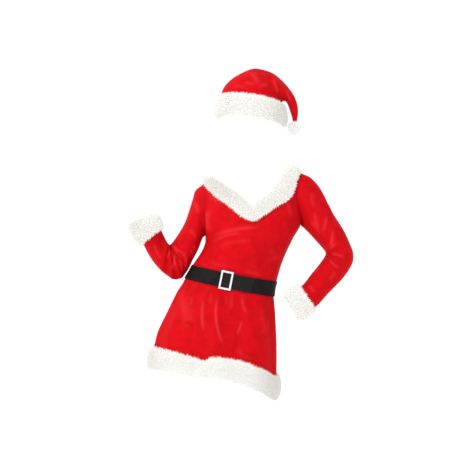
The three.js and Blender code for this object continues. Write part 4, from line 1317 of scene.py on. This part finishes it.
def grow_plush(base, sizes, depth, density=1):
    """Grows the pile on a backing and returns it as one plain mesh."""
    tree = bpy.data.node_groups.get("plush_pile") or plush_tree()
    modifier = base.modifiers.new("pile", "NODES")
    modifier.node_group = tree
    values = {
        "Density": sizes.tufts_per_cm2 * CM2_IN_M2 * density,
        "Length": sizes.tuft_length * depth / FULL_DEPTH,
        "Width": sizes.tuft_width,
        "Bend": sizes.tuft_length * BEND_SHARE,
        "Spread": STRAY_SPREAD,
        "Clump": sizes.clumping,
        "Seed": PILE_SEED,
        "Material": finish_of("plush", sizes),
    }
    for item in tree.interface.items_tree:
        if item.item_type == "SOCKET" and item.in_out == "INPUT" and item.name in values:
            modifier[item.identifier] = values[item.name]
    base.update_tag()
    evaluated = base.evaluated_get(bpy.context.evaluated_depsgraph_get())
    mesh = bpy.data.meshes.new_from_object(evaluated)
    name = base.name
    backing = base.data
    bpy.data.objects.remove(base)
    bpy.data.meshes.remove(backing)
    mesh.name = name
    piece = bpy.data.objects.new(name, mesh)
    bpy.context.scene.collection.objects.link(piece)
    return piece


def make_neck_plush(sizes):
    def place_of(turn, share):
        return share, turn * 2 * NECK_STEPS

    def dulled(points):
        # painted shade on the neck band: a little everywhere, more towards the viewer's left and higher up
        raised = smooth((points[..., 2] - NECK_PAINTED_SHADE_FROM_Z) / NECK_PAINTED_SHADE_RISE)
        return NECK_PAINTED_SHADE_LEAST + painted_shade_by_place(NECK_PAINTED_SHADE, points) * raised

    band = BANDS["neck"]
    plush_band("neck_plush", "neck_band", band, neck_surface(), place_of, dulled, sizes, NECK_GAP)


def make_hem_plush(sizes):
    def place_of(turn, share):
        return turn * RING - 1, mix(HEM_FROM, HEM_TO, share)

    def dulled(points):
        return painted_shade_by_place(HEM_PAINTED_SHADE, points)

    surface = ring_of(skirt_surface)
    plush_band("hem_plush", "hem_band", BANDS["hem"], surface, place_of, dulled, sizes)


def make_cuff_plush(sizes):
    for hand in ("left", "right"):
        start, end = SLEEVES[hand]["cuff"]

        def place_of(turn, share):
            return turn, mix(start, end, share)

        def dulled(points):
            return painted_shade_by_place(CUFF_PAINTED_SHADE, points)

        surface = sleeve_surface(hand)
        name = f"{hand}_cuff_plush"
        plush_band(name, f"cuff_{hand}", BANDS["cuff"], surface, place_of, dulled, sizes)


def make_hat_plush(sizes):
    def place_of(turn, share):
        return turn, mix(0, HAT_BAND_TO, share)

    def dulled(points):
        return painted_shade_by_place(HAT_PAINTED_SHADE, points)

    plush_band("hat_plush", "hat_band", BANDS["hat"], hat_surface(), place_of, dulled, sizes)


POMPOM_CORE = 0.62  # the dense core's share of the pompom's radius
POMPOM_DENSITY = 1.6


def make_pompom(sizes):
    low, high = (Vector(corner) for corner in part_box("hat_pompom"))
    middle = (low + high) / 2
    radius = (high.z - low.z) / 2
    mesh = bpy.data.meshes.new("pompom")
    ball = bmesh.new()
    bmesh.ops.create_icosphere(ball, subdivisions=4, radius=radius * POMPOM_CORE)
    bmesh.ops.translate(ball, verts=ball.verts, vec=middle)
    ball.to_mesh(mesh)
    ball.free()
    mesh.shade_smooth()
    ones = np.ones(len(mesh.vertices), np.float32)
    for key in ("grown", "longer"):
        mesh.attributes.new(key, "FLOAT", "POINT").data.foreach_set("value", ones)
    mesh.attributes.new("comb", "FLOAT_VECTOR", "POINT")
    base = bpy.data.objects.new("pompom", mesh)
    bpy.context.scene.collection.objects.link(base)
    piece = grow_plush(base, sizes, FULL_DEPTH, POMPOM_DENSITY)
    finish_piece(piece, "hat_pompom", finish_of("plush", sizes))


# Belt

STRAP_COLUMNS = 420
STRAP_ROWS = 11
STRAP_ROUND = 0.7  # its long edges are rounded off by this much, in millimetres
STRAP_ROUND_POWER = 8
STRAP_PAINTED_SHEEN = 0.75  # how much paler the free end is, with its painted sheen


def waist_across(waist, start, distance):
    """How far across a place lies that is a given distance along the waist."""
    across = start
    left = abs(distance)
    step = math.copysign(PROBE, distance)
    while left > 0:
        ends = waist.point(np.array([across, across + step]), np.zeros(2))
        left -= np.linalg.norm(ends[1] - ends[0])
        across += step
    return across


def make_strap(sizes):
    waist = waist_surface()
    start = waist_across(waist, BUCKLE_ACROSS, SLIDE_BAR / 2 + STRAP_CLEAR)
    meets = waist_across(waist, BUCKLE_ACROSS, -SLIDE_BAR / 2 - STRAP_CLEAR) + RING
    rises = waist_across(waist, BUCKLE_ACROSS, -BUCKLE_WIDTH / 2) + RING
    ends = waist_across(waist, BUCKLE_ACROSS, TAIL_LENGTH) + RING
    columns = np.linspace(start, ends, STRAP_COLUMNS)
    ups = np.linspace(-0.5, 0.5, STRAP_ROWS)
    across, up = np.meshgrid(columns, ups, indexing="ij")
    straight = (0.5 - up)[..., None]
    top = waist.point(across, np.full_like(up, 0.5))
    middle = waist.point(across, np.zeros_like(up))
    bottom = waist.point(across, np.full_like(up, -0.5))
    points = np.where(
        (up > 0)[..., None], mix(top, middle, 2 * straight), mix(middle, bottom, 2 * straight - 1)
    )
    normals = waist.normal(across, np.zeros_like(up))
    risen = smooth((across - rises) / (meets - rises))
    standoff = BELT_STANDOFF + (STRAP_DEPTH + SEAM) * risen
    rounding = STRAP_ROUND * (np.abs(up) * 2) ** STRAP_ROUND_POWER
    outer = points + normals * (standoff + STRAP_DEPTH - rounding)[..., None]
    inner = points + normals * (standoff + rounding)[..., None]
    # painted sheen on the strap's overlapping free end
    worn = np.tile((STRAP_PAINTED_SHEEN * risen).ravel(), 2)
    piece = mesh_object("strap", *closed_wall(outer, inner), {"worn": worn})
    finish_piece(piece, "belt_strap", finish_of("strap", sizes))


BUCKLE_EDGE = 0.0006  # how much its edges are rounded off, in metres
BUCKLE_MERGE = 1e-5  # corners nearer than this, in metres, are one
BUCKLE_FLAT = 0.02  # faces that turn by less than this, in radians, are one
BUCKLE_CORNER = 0.5  # edges that turn by more than this, in radians, are rounded off
BUCKLE_SHARP = 40  # edges that turn by more than this many degrees are shaded sharp


def make_buckle(sizes):
    """The buckle with its edges rounded off and polished."""
    body = bmesh.new()
    body.from_mesh(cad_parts["buckle"].data)
    bmesh.ops.remove_doubles(body, verts=body.verts, dist=BUCKLE_MERGE)
    bmesh.ops.dissolve_limit(body, angle_limit=BUCKLE_FLAT, verts=body.verts, edges=body.edges)
    inner_edges = [edge for edge in body.edges if len(edge.link_faces) == 2]
    sharp = [edge for edge in inner_edges if edge.calc_face_angle() > BUCKLE_CORNER]
    bmesh.ops.bevel(
        body,
        geom=sharp,
        offset=BUCKLE_EDGE,
        segments=3,
        profile=0.5,
        affect="EDGES",
        clamp_overlap=True,
    )
    mesh = bpy.data.meshes.new("frame_buckle")
    body.to_mesh(mesh)
    body.free()
    mesh.shade_smooth()
    mesh.set_sharp_from_angle(angle=math.radians(BUCKLE_SHARP))
    piece = bpy.data.objects.new("frame_buckle", mesh)
    bpy.context.scene.collection.objects.link(piece)
    finish_piece(piece, "buckle", finish_of("metal", sizes))


# Stage, light and camera

CAMERA_PLACE = Vector((-0.0665, -4, -0.203))
PICTURE_SPAN = 1.631  # what the picture takes in, at the garment's middle plane
SENSOR = 36
FLOOR_DROP = 0.62  # the wearer's feet stand this far below the hem
FLOOR_SIZE = 60
AIM = Vector((-0.06, 0, -0.25))  # the middle of the costume, which both lamps face
LAMPS = {
    "key": {"place": (-1.7, -2.6, 1.9), "size": 1.6, "share": 1},
    "rim": {"place": (-2.4, 1.2, 1.2), "size": 1.2, "share": 0.15},
}


def make_stage(sizes):
    floor_z = CAD_BOX[0][2] - FLOOR_DROP
    mesh = bpy.data.meshes.new("floor")
    half = FLOOR_SIZE / 2
    corners = [(-half, -half, floor_z), (half, -half, floor_z), (half, half, floor_z), (-half, half, floor_z)]
    mesh.from_pydata(corners, [], [(0, 1, 2, 3)])
    floor = bpy.data.objects.new("floor", mesh)
    bpy.context.scene.collection.objects.link(floor)
    material, nodes, surface = new_material("pale_floor")
    finish = {
        "Base Color": (0.98, 0.98, 0.98, 1),
        "Roughness": 1,
        "Specular IOR Level": 0,
        "Emission Color": (1, 1, 1, 1),
        "Emission Strength": 0.2,
    }
    nodes.feed(surface, finish)
    mesh.materials.append(material)

    world = bpy.data.worlds.new("studio")
    world.use_nodes = True
    sky = world.node_tree.nodes["Background"]
    sky.inputs["Color"].default_value = (1, 1, 1, 1)
    sky.inputs["Strength"].default_value = sizes.room_light
    bpy.context.scene.world = world
    bpy.context.scene.view_settings.view_transform = "Standard"

    for name, given in LAMPS.items():
        light = bpy.data.lights.new(name, "AREA")
        light.size = given["size"]
        light.energy = sizes.key_light * given["share"]
        lamp = bpy.data.objects.new(name, light)
        lamp.location = given["place"]
        aim = AIM - Vector(given["place"])
        lamp.rotation_euler = aim.to_track_quat("-Z", "Y").to_euler()
        bpy.context.scene.collection.objects.link(lamp)

    camera = bpy.data.cameras.new("camera")
    camera.sensor_width = SENSOR
    camera.lens = SENSOR * -CAMERA_PLACE.y / PICTURE_SPAN
    viewer = bpy.data.objects.new("camera", camera)
    viewer.location = CAMERA_PLACE
    viewer.rotation_euler = (math.radians(90), 0, 0)
    bpy.context.scene.collection.objects.link(viewer)
    bpy.context.scene.camera = viewer


# The add-on

class CostumeSizes(bpy.types.PropertyGroup):
    """Sizes and colours that a user would change."""

    velour_colour: FloatVectorProperty(
        name="Velour",
        description="Colour of the velour",
        subtype="COLOR",
        size=3,
        default=(0.5, 0.0012, 0.0055),
    )
    plush_colour: FloatVectorProperty(
        name="Plush",
        description="Colour of the plush trims",
        subtype="COLOR",
        size=3,
        default=(0.95, 0.945, 0.925),
    )
    strap_colour: FloatVectorProperty(
        name="Strap",
        description="Colour of the belt",
        subtype="COLOR",
        size=3,
        default=(0.005, 0.0042, 0.0042),
    )
    metal_colour: FloatVectorProperty(
        name="Metal", description="Colour of the buckle", subtype="COLOR", size=3, default=(0.8, 0.8, 0.82)
    )
    crease_depth: FloatProperty(
        name="Crease depth", description="How deep the creases are, 1 as worn", default=1, min=0, max=2
    )
    tuft_length: FloatProperty(
        name="Tuft length", description="Length of the longest plush tufts", default=0.013, subtype="DISTANCE"
    )
    tuft_width: FloatProperty(
        name="Tuft width", description="Radius of a tuft at its root", default=0.0016, subtype="DISTANCE"
    )
    tufts_per_cm2: IntProperty(
        name="Tufts", description="Number of tufts on a square centimetre", default=17, min=1, max=40
    )
    clumping: FloatProperty(
        name="Clumping", description="How much the pile leans in clumps", default=0.9, min=0, max=3
    )
    key_light: FloatProperty(
        name="Key light", description="Power of the main lamp", default=85, subtype="POWER"
    )
    room_light: FloatProperty(
        name="Room light", description="Strength of the light from all round", default=1.03, min=0
    )


class COSTUME_OT_bodice(bpy.types.Operator):
    """Make the velour of the bodice"""

    bl_idname = "costume.bodice"
    bl_label = "Bodice"

    def execute(self, context):
        make_bodice(context.scene.costume)
        return {"FINISHED"}


class COSTUME_OT_skirt(bpy.types.Operator):
    """Make the gathered velour of the skirt"""

    bl_idname = "costume.skirt"
    bl_label = "Skirt"

    def execute(self, context):
        make_skirt(context.scene.costume)
        return {"FINISHED"}


class COSTUME_OT_sleeves(bpy.types.Operator):
    """Make both sleeves"""

    bl_idname = "costume.sleeves"
    bl_label = "Sleeves"

    def execute(self, context):
        make_sleeves(context.scene.costume)
        return {"FINISHED"}


class COSTUME_OT_plush(bpy.types.Operator):
    """Grow the plush of the neck, the cuffs and the hem"""

    bl_idname = "costume.plush"
    bl_label = "Plush trims"

    def execute(self, context):
        make_neck_plush(context.scene.costume)
        make_cuff_plush(context.scene.costume)
        make_hem_plush(context.scene.costume)
        return {"FINISHED"}


class COSTUME_OT_belt(bpy.types.Operator):
    """Make the strap of the belt and its buckle"""

    bl_idname = "costume.belt"
    bl_label = "Belt"

    def execute(self, context):
        make_strap(context.scene.costume)
        make_buckle(context.scene.costume)
        return {"FINISHED"}


class COSTUME_OT_hat(bpy.types.Operator):
    """Make the hat: its crown, its plush band and its pompom"""

    bl_idname = "costume.hat"
    bl_label = "Hat"

    def execute(self, context):
        make_crown(context.scene.costume)
        make_hat_plush(context.scene.costume)
        make_pompom(context.scene.costume)
        return {"FINISHED"}


class COSTUME_OT_stage(bpy.types.Operator):
    """Set up the floor, the light and the camera"""

    bl_idname = "costume.stage"
    bl_label = "Stage"

    def execute(self, context):
        make_stage(context.scene.costume)
        return {"FINISHED"}


OPERATORS = (
    COSTUME_OT_bodice,
    COSTUME_OT_skirt,
    COSTUME_OT_sleeves,
    COSTUME_OT_plush,
    COSTUME_OT_belt,
    COSTUME_OT_hat,
    COSTUME_OT_stage,
)


class COSTUME_PT_panel(bpy.types.Panel):
    """The costume's sizes, and one button for each group of pieces"""

    bl_idname = "COSTUME_PT_panel"
    bl_label = "Festive costume"
    bl_space_type = "VIEW_3D"
    bl_region_type = "UI"
    bl_category = "Costume"

    def draw(self, context):
        sizes = context.scene.costume
        for name in sizes.bl_rna.properties.keys():
            if name not in ("rna_type", "name"):
                self.layout.prop(sizes, name)
        for operator in OPERATORS:
            self.layout.operator(operator.bl_idname)


CLASSES = (CostumeSizes, *OPERATORS, COSTUME_PT_panel)


def register():
    for item in CLASSES:
        bpy.utils.register_class(item)
    bpy.types.Scene.costume = PointerProperty(type=CostumeSizes)


def unregister():
    del bpy.types.Scene.costume
    for item in reversed(CLASSES):
        bpy.utils.unregister_class(item)


def main():
    register()
    for operator in OPERATORS:
        category, name = operator.bl_idname.split(".")
        getattr(getattr(bpy.ops, category), name)()


if __name__ == "__main__":
    main()
